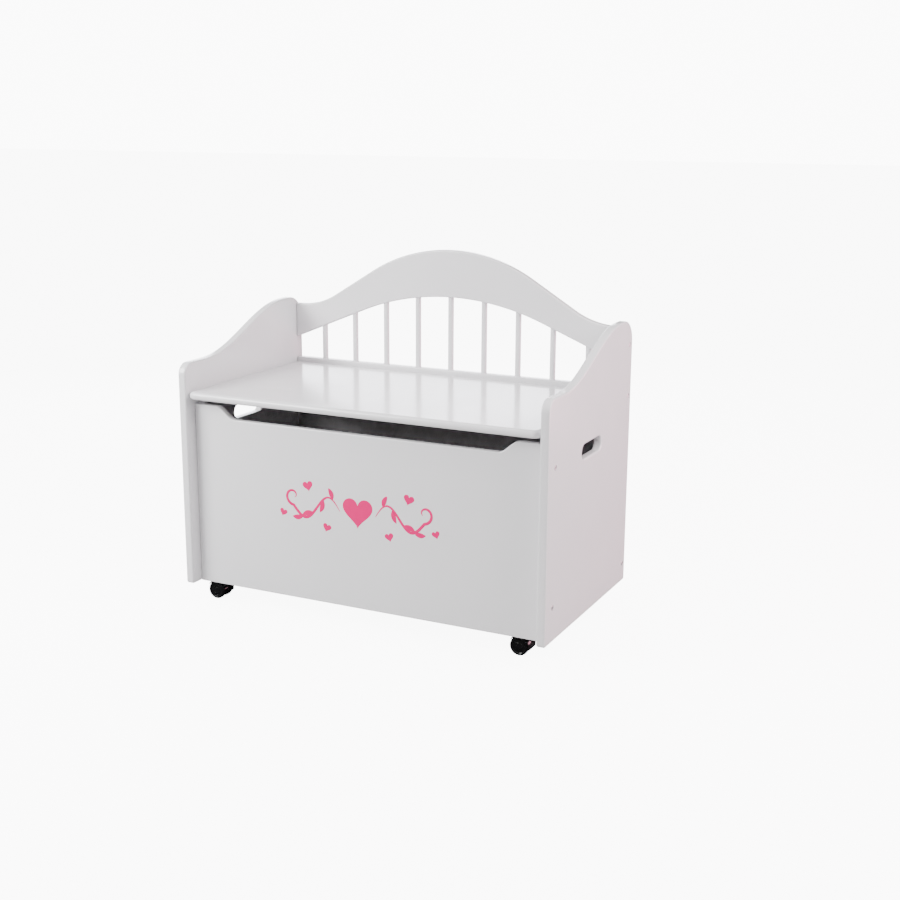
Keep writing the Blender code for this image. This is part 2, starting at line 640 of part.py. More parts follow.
# -------------------------------------------------------------------- casters
def caster_plate_mesh():
    """Square top plate with its raceway and stem, about the swivel axis."""
    half = PLATE_SIZE / 2
    plate = link_part("caster_plate", box_mesh("plate_blank", (-half, -half, PLATE_UNDER_Z),
                                               (half, half, PLATE_TOP_Z)), CASTER_BLACK)
    inside = PLATE_UNDER_Z + PLATE_THICK / 2
    race, stem = RACEWAY_DIAMETER / 2, STEM_DIAMETER / 2
    turned = turned_mesh("stem_blank", [(0, inside), (race, inside), (race, RACEWAY_UNDER_Z),
                                        (stem, RACEWAY_UNDER_Z), (stem, STEM_END_Z), (0, STEM_END_Z)], 16)
    stem_tool = cutter("stem_blank", turned)
    combine(plate, stem_tool, "UNION")
    return settle(plate, [stem_tool], "caster_plate")


def hood_sector(inner, outer, steps):
    """A ring sector about the axle, over the hood's angles."""
    start, end = HOOD_ANGLES
    ring = arc(0, 0, outer, start, end, steps)
    return ring + arc(0, 0, inner, end, start, steps)


def web_outline():
    """Rib between the wheels: as far as the hood under it, and smaller below."""
    start, end = HOOD_ANGLES
    upper = arc(0, 0, HOOD_INNER_RADIUS + HOOD_THICK / 2, start, end, 10)
    return upper + arc(0, 0, WEB_LOW_RADIUS, end, start + 360, 10)


def caster_housing_mesh():
    """Hood, rib and stem boss in one, about the swivel axis; the axle is CASTER_TRAIL behind."""
    axle = (CASTER_TRAIL, 0, WHEEL_RADIUS)
    width = 2 * (WHEEL_INNER_FACE + WHEEL_WIDTH + HOOD_OVERHANG)
    hood = link_part("caster_housing", outline_mesh("hood_blank",
                     hood_sector(HOOD_INNER_RADIUS, HOOD_OUTER_RADIUS, 12), width),
                     CASTER_BLACK, place=axle, turn=ROT_XZ)
    web = cutter("web_blank", outline_mesh("web_blank", web_outline(), WEB_THICK), place=axle, turn=ROT_XZ)
    boss_low = WHEEL_RADIUS + BOSS_FOOT_ABOVE_AXLE
    boss_shape = [((0, 0, (boss_low + BOSS_TOP_Z) / 2), (0, 0, 1), BOSS_DIAMETER / 2, BOSS_TOP_Z - boss_low)]
    boss = cutter("boss_blank", cylinders_mesh("boss_blank", boss_shape, 16))
    socket_shape = [((0, 0, (STEM_SOCKET_Z + PLATE_TOP_Z) / 2), (0, 0, 1), STEM_SOCKET_RADIUS,
                     PLATE_TOP_Z - STEM_SOCKET_Z)]
    socket = cutter("stem_socket", cylinders_mesh("stem_socket", socket_shape, 16))
    bore_shape = [(axle, (0, 1, 0), AXLE_DIAMETER / 2 + PIN_CLEARANCE, 2 * WEB_THICK)]
    bore = cutter("axle_bore", cylinders_mesh("axle_bore", bore_shape, 16))
    combine(hood, web, "UNION")
    combine(hood, boss, "UNION")
    combine(hood, socket)
    combine(hood, bore)
    return settle(hood, [web, boss, socket, bore], "caster_housing")


def wheel_mesh():
    """Moulded wheel about Z: closed outer face at +Z, blind bore from the inner face."""
    radius, half, edge = WHEEL_RADIUS, WHEEL_WIDTH / 2, WHEEL_TREAD_ROUND
    bore = AXLE_DIAMETER / 2 + PIN_CLEARANCE
    profile = [(0, half), (radius - 3 * edge, half), (radius - edge, half - edge / 2),
               (radius, half - 2 * edge), (radius, edge - half), (radius - edge, -half), (bore, -half),
               (bore, half - WHEEL_CAP_THICK), (0, half - WHEEL_CAP_THICK)]
    return turned_mesh("caster_wheel", profile, 24)


def build_casters(black, steel):
    plate, housing, wheel = caster_plate_mesh(), caster_housing_mesh(), wheel_mesh()
    axle_half = WHEEL_INNER_FACE + WHEEL_WIDTH - WHEEL_CAP_THICK - PIN_CLEARANCE
    axle = cylinders_mesh("caster_axle", [((0, 0, 0), (0, 1, 0), AXLE_DIAMETER / 2, 2 * axle_half)], 12)
    wheel_y = WHEEL_INNER_FACE + WHEEL_WIDTH / 2
    for corner, x_sign, y_sign in CORNERS:
        stem = (x_sign * (HALF_WIDTH - CASTER_FROM_SIDE), y_sign * (BOX_DEPTH / 2 - CASTER_FROM_END), 0)
        link_part("caster_plate_" + corner, plate, black, place=stem)
        swivel = new_empty("caster_swivel_axis_" + corner, stem, (0, 0, CASTER_TURN))
        link_part("caster_housing_" + corner, housing, black, parent=swivel)
        spin = new_empty("caster_axle_axis_" + corner, (CASTER_TRAIL, 0, WHEEL_RADIUS), parent=swivel)
        link_part("caster_axle_" + corner, axle, steel, parent=spin, smooth=True)
        link_part("caster_wheel_a_" + corner, wheel, black, place=(0, -wheel_y, 0),
                  turn=(math.pi / 2, 0, 0), parent=spin, smooth=True)
        link_part("caster_wheel_b_" + corner, wheel, black, place=(0, wheel_y, 0),
                  turn=ROT_AXIS_Y, parent=spin, smooth=True)


clear_scene()
PARTS = new_collection("bench_toy_box")
CUTTERS = new_collection("bench_toy_box_cutters")
WHITE_LACQUER = new_material("white_lacquer", (0.83, 0.82, 0.84), 0.32)
BOLT_STEEL = new_material("bolt_steel", (0.72, 0.72, 0.74), 0.35, 1.0)
HINGE_STEEL = new_material("hinge_steel", (0.55, 0.56, 0.58), 0.38, 1.0)
CASTER_BLACK = new_material("caster_black", (0.012, 0.012, 0.014), 0.22)

build_side_panels(WHITE_LACQUER)
build_front_panel(WHITE_LACQUER)
build_back(WHITE_LACQUER)
build_floor(WHITE_LACQUER)
build_bolts(BOLT_STEEL)
build_lid(WHITE_LACQUER, HINGE_STEEL, BOLT_STEEL)
build_casters(CASTER_BLACK, HINGE_STEEL)
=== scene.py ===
"""Looks of the bench toy box: lacquered boards with rounded-over edges, turned spindles,
socket-head bolts, lid hinges and twin-wheel casters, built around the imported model.

Metres, +Z up, +X to the right of someone facing the box, front at -Y. A board is an edge
profile carried round its outline, and a round piece is a profile turned about its axis.
"""
import math

import bpy
import numpy as np
from mathutils import Matrix, Vector
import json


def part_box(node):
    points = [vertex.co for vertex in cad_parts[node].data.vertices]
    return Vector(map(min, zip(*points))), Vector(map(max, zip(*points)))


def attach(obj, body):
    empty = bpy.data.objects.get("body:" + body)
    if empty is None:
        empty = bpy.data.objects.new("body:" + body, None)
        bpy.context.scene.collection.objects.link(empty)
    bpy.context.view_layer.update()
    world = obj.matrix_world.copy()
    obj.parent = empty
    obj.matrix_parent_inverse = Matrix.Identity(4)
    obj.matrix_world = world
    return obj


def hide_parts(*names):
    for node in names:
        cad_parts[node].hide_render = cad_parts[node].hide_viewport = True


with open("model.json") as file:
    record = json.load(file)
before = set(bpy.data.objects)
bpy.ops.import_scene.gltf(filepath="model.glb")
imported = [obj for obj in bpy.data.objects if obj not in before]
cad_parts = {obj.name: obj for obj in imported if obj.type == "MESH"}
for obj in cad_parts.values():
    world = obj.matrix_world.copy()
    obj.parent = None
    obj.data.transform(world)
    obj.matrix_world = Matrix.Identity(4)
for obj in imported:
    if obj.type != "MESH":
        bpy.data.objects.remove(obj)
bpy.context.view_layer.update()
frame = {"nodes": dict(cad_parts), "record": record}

# ------ sizes that the boards share
SIDE_ROUND = 0.0035        # rounding of the side boards' edges
BOARD_ROUND = 0.0022       # rounding of the front and back boards' edges
CREST_ROUND = 0.0035
LID_ROUND = 0.0072         # bullnose of the lid
STRIP_ROUND = 0.0010       # inner strips and the chest's floor
SHEET_ROUND = 0.0004       # edges of sheet steel and moulded plates
BOARD_CORNER = 0.0012      # corner radius of a board's cut outline
ROUND_STEPS = 6            # steps in a quarter of rounding
RIM = 0.0012               # flat rim that keeps a face's shading even up to its rounding
SPACING = 0.006            # longest step along an outline
CORNER_TURN = 25.0         # an outline's sharper turns, in degrees, are rounded off
CORNER_STEPS = 5
LEAST_CORNER = 0.0003      # corner radius that an inset outline keeps at least
CREASE = math.radians(48)  # edges that turn more than this are shaded sharp

SIDE_FOOT_RADIUS = 0.006
ARM_CORNER_RADIUS = 0.026
ARM_LENGTH = 0.075
ARM_RISE = 0.0605          # lid's top to the low front part of the wing
WING_BACK_LENGTH = 0.067
WING_CORNER_RADIUS = 0.048
SLOT_LENGTH = 0.110
SLOT_HEIGHT = 0.030
SLOT_BELOW_LID = 0.0775
SLOT_FROM_FRONT = 0.232
SCOOP_DEPTH = 0.026
SCOOP_FROM_SIDE = 0.0542   # front board's end to where the scoop begins
SCOOP_RUN = 0.046
LID_CORNER_RADIUS = 0.016
LID_REAR_RADIUS = 0.004
CREST_END_FLAT = 0.0145
CREST_DROP = 0.1427
CREST_CROWN_RADIUS = 0.377
CREST_NECK_RADIUS = 0.179
CREST_UNDER_DEPTH = 0.1052
CREST_UNDER_DROP = 0.1169
CREST_UNDER_RADIUS = 0.600
SOCKET_DEPTH = 0.012       # spindle inside the back board and the crest

SIDES = (("left", -1), ("right", 1))
CORNERS = ("front_left", "front_right", "back_left", "back_right")


# ------ flat outlines
def arc(centre, radius, start, end, steps):
    """Points centre + radius (cos a, sin a), for a from start to end in degrees."""
    a = np.radians(np.linspace(start, end, steps + 1))
    return np.stack([centre[0] + radius * np.cos(a), centre[1] + radius * np.sin(a)], 1)


def wave(x0, x1, y0, y1, steps=40):
    """Half a cosine wave: y goes from y0 to y1 as (1 - cos(pi t)) / 2 while x goes evenly."""
    t = np.linspace(0, 1, steps + 1)
    return np.stack([x0 + (x1 - x0) * t, y0 + (y1 - y0) * (1 - np.cos(math.pi * t)) / 2], 1)


def arch(half_span, drop, crown_radius, neck_radius):
    """Right half of an arched edge: a crown arc, a straight slope tangent to it and, with a
    neck radius, an arc that ends level. The slope's angle a follows from
    (r - drop) cos a + half_span sin a = r, where r is the sum of both radii."""
    radii = crown_radius + neck_radius
    reach = math.hypot(half_span, radii - drop)
    slope = math.degrees(math.atan2(half_span, radii - drop) - math.acos(radii / reach))
    crown = arc((0, -crown_radius), crown_radius, 90, 90 - slope, 40)
    if not neck_radius:
        return np.vstack([crown, [(half_span, -drop)]])
    return np.vstack([crown, arc((half_span, neck_radius - drop), neck_radius, 270 - slope, 270, 30)])


def mirrored(right):
    """A right half joined to its mirror image, from the left end to the right end."""
    return np.vstack([right[::-1] * (-1, 1), right[1:]])


def headings(points):
    """Unit direction of the edge that arrives at each point, and of the one that leaves it."""
    way_in = points - np.roll(points, 1, 0)
    way_in /= np.linalg.norm(way_in, axis=1)[:, None]
    return way_in, np.roll(way_in, -1, 0)


def softened(points, turn, radius):
    """Replace each corner that turns more than CORNER_TURN by the quadratic curve that leaves
    its two edges radius * tan(turn / 2) before and after it."""
    way_in, way_out = headings(points)
    cut = (radius * np.tan(turn / 2))[:, None]
    t = np.linspace(0, 1, CORNER_STEPS + 1)[None, :, None]
    start, end = (points - way_in * cut)[:, None], (points + way_out * cut)[:, None]
    curve = start * (1 - t) ** 2 + points[:, None] * 2 * t * (1 - t) + end * t ** 2
    corner = turn > math.radians(CORNER_TURN)
    curve[~corner] = points[~corner][:, None]
    kept = corner[:, None] | (np.arange(CORNER_STEPS + 1) == 0)
    return curve[kept]


def contours(points, corner, insets, spacing=SPACING):
    """The closed outline moved inwards by each inset, as an array over (inset, point). Corners
    keep the radius corner - inset, and all the copies are cut into the same even steps."""
    points = points[np.linalg.norm(np.roll(points, -1, 0) - points, axis=1) > 1e-7]
    way_in, way_out = headings(points)
    turn = np.arccos(np.clip((way_in * way_out).sum(1), -1, 1))
    base = softened(points, turn, corner)
    counts = np.ceil(np.linalg.norm(np.roll(base, -1, 0) - base, axis=1) / spacing).astype(int).clip(1)
    starts = np.cumsum(counts) - counts
    share = ((np.arange(counts.sum()) - np.repeat(starts, counts)) / np.repeat(counts, counts))[:, None]
    rings = np.stack([softened(inset(points, d), turn, max(corner - d, LEAST_CORNER)) for d in insets])
    here, following = (np.repeat(r, counts, 1) for r in (rings, np.roll(rings, -1, 1)))
    return here * (1 - share) + following * share


def area(points):
    """Signed area of a closed outline: half the sum of x times the next y, less y times the
    next x. It is positive when the outline runs anticlockwise."""
    following = np.roll(points, -1, 0)
    return float((points[:, 0] * following[:, 1] - following[:, 0] * points[:, 1]).sum() / 2)


def inset(points, distance):
    """The closed outline moved inwards: each point goes along the sum of its two edges'
    normals divided by 1 + their dot product, which keeps every edge parallel."""
    edge = np.roll(points, -1, 0) - points
    edge /= np.linalg.norm(edge, axis=1)[:, None]
    normal = np.stack([-edge[:, 1], edge[:, 0]], 1) * np.sign(area(points))
    before = np.roll(normal, 1, 0)
    mitre = (normal + before) / (1 + (normal * before).sum(1))[:, None]
    return points + mitre * np.asarray(distance).reshape(-1, 1)


def rectangle(low, high):
    """A rectangle's corners, anticlockwise."""
    (x0, y0), (x1, y1) = low, high
    return np.array([(x1, y0), (x1, y1), (x0, y1), (x0, y0)])


# ------ surfaces from rings
PLANES = {"xz": (0, 2, 1), "yz": (1, 2, 0), "xy": (0, 1, 2)}


def placed(points, offset, plane):
    """2D points laid in a world plane at a distance along the third axis."""
    first, second, third = PLANES[plane]
    out = np.zeros((len(points), 3))
    out[:, first], out[:, second], out[:, third] = points[:, 0], points[:, 1], offset
    return out


def surface(rings, loop=False):
    """A closed body through rings of equal length: the grid point (i, j) is ring i's point j.
    The last ring meets the first with loop; without it, a face closes each end. The volume,
    summed as triple products of the corners, tells whether the faces have to be turned over."""
    rings = np.asarray(rings, float)
    count, size = rings.shape[:2]
    index = np.arange(count * size).reshape(count, size)
    upper = np.roll(index, -1, 0) if loop else index[1:]
    lower = index if loop else index[:-1]
    quads = np.stack([lower, np.roll(lower, -1, 1), np.roll(upper, -1, 1), upper], 2).reshape(-1, 4)
    verts = rings.reshape(-1, 3)
    ends = [] if loop else [index[0][::-1], index[-1]]
    a, b, c, d = (verts[quads[:, k]] for k in range(4))
    volume = (np.cross(a, b) * c).sum() + (np.cross(a, c) * d).sum()
    for end in ends:
        face = verts[end]
        volume += (np.cross(face[0], face[1:-1]) * face[2:]).sum()
    if volume < 0:
        quads, ends = quads[:, ::-1], [end[::-1] for end in ends]
    return verts, quads, ends


def quarter(steps):
    """Angles of a quarter circle, in radians."""
    return np.radians(np.linspace(0, 90, steps + 1))


def edge_profile(thickness, radius, rim=RIM):
    """Inset and height of each ring over a board's edge, from its back face to its front:
    a quarter circle at each face, and a flat rim inside it."""
    a = quarter(ROUND_STEPS)
    half = thickness / 2
    low = np.stack([radius * (1 - np.sin(a)), -half + radius * (1 - np.cos(a))], 1)
    high = low[::-1] * (1, -1)
    if thickness - 2 * radius < 1e-5:
        high = high[1:]
    return np.vstack([[(radius + rim, -half)], low, high, [(radius + rim, half)]])


def board(outline, corner, middle, thickness, plane, radius, rim=RIM, spacing=SPACING):
    """A board: the edge profile carried round its outline, with both faces closed."""
    insets, heights = edge_profile(thickness, radius, rim).T
    rings = contours(outline, corner, insets, spacing)
    return surface([placed(ring, middle + h, plane) for ring, h in zip(rings, heights)])


def sheet(outline, corner, middle, thickness, plane, spacing=0.003):
    """A board of sheet steel or moulded plate, with a narrow rim and small roundings."""
    return board(outline, corner, middle, thickness, plane, SHEET_ROUND, SHEET_ROUND, spacing)


def pierced_board(outline, corner, middle, thickness, plane, radius, hole_centre, hole_reach, hole_round,
                  between=3, spacing=SPACING):
    """A board with one hole: each ring point lies on a ray from the hole's centre, the hole's
    edge at hole_reach(angle) on it, so the rings run from the outer edge over the face, through
    the hole and back over the other face."""
    insets, heights = edge_profile(thickness, radius).T
    outer = contours(outline, corner, insets, spacing)
    ray = contours(outline, corner, [0.0], spacing)[0] - hole_centre
    angle = np.arctan2(ray[:, 1], ray[:, 0])
    way = np.stack([np.cos(angle), np.sin(angle)], 1)
    hole_insets, hole_heights = edge_profile(thickness, hole_round).T
    inner = [hole_centre + way * hole_reach(angle, d)[:, None] for d in hole_insets]
    shares = np.linspace(0, 1, between + 2)[1:-1]
    rings = list(zip(outer, heights))
    rings += [(outer[-1] * (1 - s) + inner[0] * s, heights[-1]) for s in shares]
    rings += list(zip(inner, -hole_heights))
    rings += [(inner[-1] * (1 - s) + outer[0] * s, heights[0]) for s in shares]
    return surface([placed(ring, middle + h, plane) for ring, h in rings], loop=True)


def turned(profile, centre, axis, steps=48, reach=None):
    """A round piece: the profile's radius and height turned about an axis through centre.
    reach, where given, multiplies the radius of some rings by a function of the angle."""
    profile = np.asarray(profile, float)
    a = np.arange(steps) * 2 * math.pi / steps
    radius = np.repeat(profile[:, :1], steps, 1)
    if reach is not None:
        rings, shape = reach
        radius[rings] *= shape(a)
    flat = np.stack([radius * np.cos(a), radius * np.sin(a),
                     np.repeat(profile[:, 1:2], steps, 1)], 2)
    frame_of_axis = np.array(Vector(axis).to_track_quat("Z", "Y").to_matrix())
    return surface(flat @ frame_of_axis.T + np.asarray(centre, float))


def rounded_rod(radius, low, high, edge):
    """Profile of a plain rod with rounded ends, from its low end to its high one."""
    a = quarter(4)
    low_end = np.stack([radius - edge + edge * np.sin(a), low + edge * (1 - np.cos(a))], 1)
    high_end = np.stack([radius - edge + edge * np.cos(a), high - edge * (1 - np.sin(a))], 1)
    return np.vstack([[(radius / 2, low)], low_end, high_end, [(radius / 2, high)]])


def shaded(mesh):
    """Smooth shading with creases at the sharper edges."""
    mesh.shade_smooth()
    mesh.set_sharp_from_angle(angle=CREASE)


def stand(name, data):
    """A new object with the given mesh, light or camera, linked to the scene."""
    made = bpy.data.objects.new(name, data)
    bpy.context.scene.collection.objects.link(made)
    return made


def joined(name, skins):
    """One linked object whose mesh holds several closed skins, their faces numbered on."""
    faces, start = [], 0
    for verts, quads, ends in skins:
        faces += (quads + start).tolist() + [(end + start).tolist() for end in ends]
        start += len(verts)
    mesh = bpy.data.meshes.new(name)
    mesh.from_pydata(np.vstack([verts for verts, _, _ in skins]).tolist(), [], faces)
    return stand(name, mesh)


def piece(name, skins, material, body, replaces=()):
    """One named object made of closed skins, riding on a CAD body."""
    made = joined(name, skins)
    shaded(made.data)
    made.data.materials.append(material)
    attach(made, body)
    if replaces:
        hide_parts(*replaces)
    return made


# ------ shared shader groups
def new_group(name, inputs, outputs):
    """An empty node group; inputs are (name, default) and outputs are names of values."""
    group = bpy.data.node_groups.new(name, "ShaderNodeTree")
    for label, default in inputs:
        socket = group.interface.new_socket(label, in_out="INPUT", socket_type="NodeSocketFloat")
        socket.default_value = default
    for label in outputs:
        group.interface.new_socket(label, in_out="OUTPUT", socket_type="NodeSocketFloat")
    return group, group.nodes.new("NodeGroupInput"), group.nodes.new("NodeGroupOutput")


def feed(tree, value, socket):
    """Give a socket a number or colour of its own, or another node's output."""
    if isinstance(value, bpy.types.NodeSocket):
        tree.links.new(value, socket)
    else:
        socket.default_value = value


def noise(tree, vector, scale, detail=2.0, stretch=None):
    """A noise texture on the piece's own coordinates; stretch multiplies each axis first."""
    node = tree.nodes.new("ShaderNodeTexNoise")
    node.inputs["Detail"].default_value = detail
    if stretch is not None:
        mapping = tree.nodes.new("ShaderNodeMapping")
        mapping.inputs["Scale"].default_value = stretch
        tree.links.new(vector, mapping.inputs["Vector"])
        vector = mapping.outputs["Vector"]
    tree.links.new(vector, node.inputs["Vector"])
    feed(tree, scale, node.inputs["Scale"])
    return node.outputs["Fac"]


def ramp(tree, value, low, high, out_low, out_high):
    """A smooth step: value between low and high becomes out_low to out_high."""
    node = tree.nodes.new("ShaderNodeMapRange")
    node.interpolation_type = "SMOOTHSTEP"
    for label, given in (("Value", value), ("From Min", low), ("From Max", high),
                         ("To Min", out_low), ("To Max", out_high)):
        feed(tree, given, node.inputs[label])
    return node.outputs["Result"]


def maths(tree, operation, first, second):
    """A sum, difference or product of two values, either of them a number or a socket."""
    node = tree.nodes.new("ShaderNodeMath")
    node.operation = operation
    feed(tree, first, node.inputs[0])
    feed(tree, second, node.inputs[1])
    return node.outputs["Value"]


def lacquer_film_group():
    """Sprayed lacquer: a fine orange peel over the faint waviness of the sanded board, a
    patchy gloss, and slow clouds in the film's thickness."""
    inputs = (("Peel Scale", 420.0), ("Gloss", 0.3), ("Gloss Spread", 0.06))
    group, source, sink = new_group("lacquer_film", inputs, ("Height", "Roughness", "Clouds"))
    where = group.nodes.new("ShaderNodeTexCoord").outputs["Object"]
    peel = noise(group, where, source.outputs["Peel Scale"], 1.0)
    waves = noise(group, where, 16.0, 2.0)
    grain = noise(group, where, 60.0, 3.0, stretch=(0.35, 1.0, 1.0))
    height = maths(group, "ADD", maths(group, "MULTIPLY", peel, 0.25), waves)
    height = maths(group, "ADD", height, maths(group, "MULTIPLY", grain, 0.10))
    group.links.new(height, sink.inputs["Height"])
    patches = noise(group, where, 7.0, 4.0)
    low = maths(group, "SUBTRACT", source.outputs["Gloss"], source.outputs["Gloss Spread"])
    high = maths(group, "ADD", source.outputs["Gloss"], source.outputs["Gloss Spread"])
    group.links.new(ramp(group, patches, 0.3, 0.7, low, high), sink.inputs["Roughness"])
    clouds = ramp(group, noise(group, where, 3.0, 3.0), 0.3, 0.7, 0.0, 1.0)
    group.links.new(clouds, sink.inputs["Clouds"])
    return group


def scuff_group():
    """Handling marks: sparse thin streaks and soft smudges, as two masks from 0 to 1."""
    group, source, sink = new_group("scuffs", (("Amount", 0.5),), ("Streaks", "Smudges"))
    where = group.nodes.new("ShaderNodeTexCoord").outputs["Object"]
    along = noise(group, where, 90.0, 3.0, stretch=(0.12, 1.0, 2.2))
    spots = noise(group, where, 9.0, 2.0)
    thin, sparse = ramp(group, along, 0.66, 0.74, 0.0, 1.0), ramp(group, spots, 0.52, 0.66, 0.0, 1.0)
    streaks = maths(group, "MULTIPLY", thin, sparse)
    group.links.new(maths(group, "MULTIPLY", streaks, source.outputs["Amount"]), sink.inputs["Streaks"])
    smudges = ramp(group, noise(group, where, 22.0, 5.0), 0.50, 0.78, 0.0, source.outputs["Amount"])
    group.links.new(smudges, sink.inputs["Smudges"])
    return group


def brushing_group():
    """Fine parallel brushing of sheet metal, as a height and a streaked brightness."""
    group, source, sink = new_group("brushing", (("Fineness", 900.0),), ("Height", "Streaks"))
    where = group.nodes.new("ShaderNodeTexCoord").outputs["Object"]
    lines = noise(group, where, source.outputs["Fineness"], 2.0, stretch=(0.9, 0.05, 1.0))
    group.links.new(lines, sink.inputs["Height"])
    group.links.new(ramp(group, lines, 0.3, 0.7, 0.0, 1.0), sink.inputs["Streaks"])
    return group


def new_material(name, metallic=0.0):
    """A material, its node tree and its Principled shader."""
    material = bpy.data.materials.new(name)
    material.use_nodes = True
    tree = material.node_tree
    shader = tree.nodes["Principled BSDF"]
    shader.inputs["Metallic"].default_value = metallic
    return material, tree, shader


def place_group(tree, group, **values):
    """A shared group placed in a material with its own values; returns its outputs."""
    node = tree.nodes.new("ShaderNodeGroup")
    node.node_tree = group
    for label, value in values.items():
        node.inputs[label.replace("_", " ")].default_value = value
    return node.outputs


def tint(tree, mask, first, second):
    """A colour from first to second as the mask goes from 0 to 1."""
    mix = tree.nodes.new("ShaderNodeMix")
    mix.data_type = "RGBA"
    mix.clamp_factor = True
    tree.links.new(mask, mix.inputs["Factor"])
    for label, colour in (("A", first), ("B", second)):
        feed(tree, (*colour, 1.0) if isinstance(colour, tuple) else colour, mix.inputs[label])
    return mix.outputs["Result"]


def bumped(tree, shader, height, strength, distance):
    """Small relief: the height, times the distance in metres, bends the shader's normal."""
    bump = tree.nodes.new("ShaderNodeBump")
    bump.inputs["Strength"].default_value = strength
    bump.inputs["Distance"].default_value = distance
    tree.links.new(height, bump.inputs["Height"])
    tree.links.new(bump.outputs["Normal"], shader.inputs["Normal"])


def white_lacquer():
    """Cool white semi-gloss lacquer over smooth board."""
    material, tree, shader = new_material("white_lacquer")
    shader.inputs["IOR"].default_value = 1.5
    shader.inputs["Coat Weight"].default_value = 0.3
    shader.inputs["Coat Roughness"].default_value = 0.10
    film = place_group(tree, LACQUER_FILM, Gloss=0.20, Gloss_Spread=0.04)
    marks = place_group(tree, SCUFFS, Amount=0.35)
    body = tint(tree, film["Clouds"], (0.775, 0.765, 0.785), (0.800, 0.792, 0.806))
    body = tint(tree, marks["Streaks"], body, (0.70, 0.69, 0.70))
    tree.links.new(body, shader.inputs["Base Color"])
    rough = maths(tree, "ADD", film["Roughness"], maths(tree, "MULTIPLY", marks["Smudges"], 0.12))
    tree.links.new(rough, shader.inputs["Roughness"])
    bumped(tree, shader, film["Height"], 0.08, 0.0005)
    return material


def metal(name, dark, light, roughness, fineness):
    """Brushed or plated steel with streaks between a dark and a light tone."""
    material, tree, shader = new_material(name, 1.0)
    lines = place_group(tree, BRUSHING, Fineness=fineness)
    marks = place_group(tree, SCUFFS, Amount=0.5)
    tree.links.new(tint(tree, lines["Streaks"], dark, light), shader.inputs["Base Color"])
    rough = ramp(tree, marks["Smudges"], 0.0, 1.0, roughness, roughness + 0.25)
    tree.links.new(rough, shader.inputs["Roughness"])
    bumped(tree, shader, lines["Height"], 0.15, 0.0002)
    return material


def caster_black():
    """Glossy black moulded nylon with a fine moulding texture, dust specks and rub marks."""
    material, tree, shader = new_material("caster_black")
    shader.inputs["Specular IOR Level"].default_value = 0.3
    where = tree.nodes.new("ShaderNodeTexCoord").outputs["Object"]
    marks = place_group(tree, SCUFFS, Amount=0.8)
    specks = ramp(tree, noise(tree, where, 900.0, 2.0), 0.68, 0.76, 0.0, 0.6)
    body = tint(tree, marks["Smudges"], (0.0035, 0.0035, 0.0045), (0.008, 0.008, 0.009))
    tree.links.new(tint(tree, specks, body, (0.04, 0.04, 0.04)), shader.inputs["Base Color"])
    tree.links.new(ramp(tree, marks["Smudges"], 0.0, 0.8, 0.13, 0.32), shader.inputs["Roughness"])
    bumped(tree, shader, noise(tree, where, 1400.0, 2.0), 0.12, 0.0002)
    return material


def pink_film():
    """Satin pink cut film, with the faint ripple of the lacquer that it is stuck to."""
    material, tree, shader = new_material("pink_film")
    shader.inputs["Specular IOR Level"].default_value = 0.15
    film = place_group(tree, LACQUER_FILM, Gloss=0.42, Gloss_Spread=0.05)
    body = tint(tree, film["Clouds"], (0.74, 0.001, 0.148), (0.78, 0.004, 0.168))
    tree.links.new(body, shader.inputs["Base Color"])
    tree.links.new(film["Roughness"], shader.inputs["Roughness"])
    bumped(tree, shader, film["Height"], 0.12, 0.0005)
    return material


LACQUER_FILM = lacquer_film_group()
SCUFFS = scuff_group()
BRUSHING = brushing_group()
WHITE = white_lacquer()
BOLT_STEEL = metal("bolt_steel", (0.66, 0.66, 0.68), (0.80, 0.80, 0.82), 0.30, 2600.0)
HINGE_STEEL = metal("hinge_steel", (0.46, 0.47, 0.49), (0.60, 0.61, 0.63), 0.34, 1400.0)
AXLE_STEEL = metal("axle_steel", (0.50, 0.50, 0.52), (0.66, 0.66, 0.68), 0.25, 2200.0)
BLACK = caster_black()
PINK = pink_film()


# ------ the boards
def extent(node):
    """A CAD node's lowest corner, highest corner, middle and size, as arrays."""
    low, high = (np.array(corner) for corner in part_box(node))
    return low, high, (low + high) / 2, high - low


JOINTS = {joint["name"]: np.array(joint["pos_m"]) for joint in frame["record"]["behaviour"]["joints"]}
LID_TOP_Z = extent("lid")[1][2]
BOLT_RECESS_RADIUS = 0.0058
BOLT_RECESS_DEPTH = 0.0033
FILLET_WIDTH = 0.0009      # lacquer fillet at the ends of a dowel
FILLET_HEIGHT = 0.0018


def bolt_places(side):
    """Y and Z of the bolts through a side board."""
    middles = [extent("side_bolt_%s_%d" % (side, k))[2] for k in range(1, 6)]
    return [(float(m[1]), float(m[2])) for m in middles]


def drill(made, holes):
    """Cut round recesses, each (centre, axis, radius, depth below centre), into a finished
    piece: a rod with rounded ends is taken away at each."""
    above, edge = 0.004, 0.0003
    tool = joined("recess_tool", [turned(rounded_rod(radius, -depth, above, edge), centre, axis, 40)
                                  for centre, axis, radius, depth in holes])
    cut = made.modifiers.new("recesses", "BOOLEAN")
    cut.operation = "DIFFERENCE"
    cut.solver = "EXACT"
    cut.object = tool
    bpy.context.view_layer.update()
    finished = made.evaluated_get(bpy.context.evaluated_depsgraph_get())
    result = bpy.data.meshes.new_from_object(finished)
    made.modifiers.remove(cut)
    bpy.data.objects.remove(tool, do_unlink=True)
    made.data = result
    shaded(result)


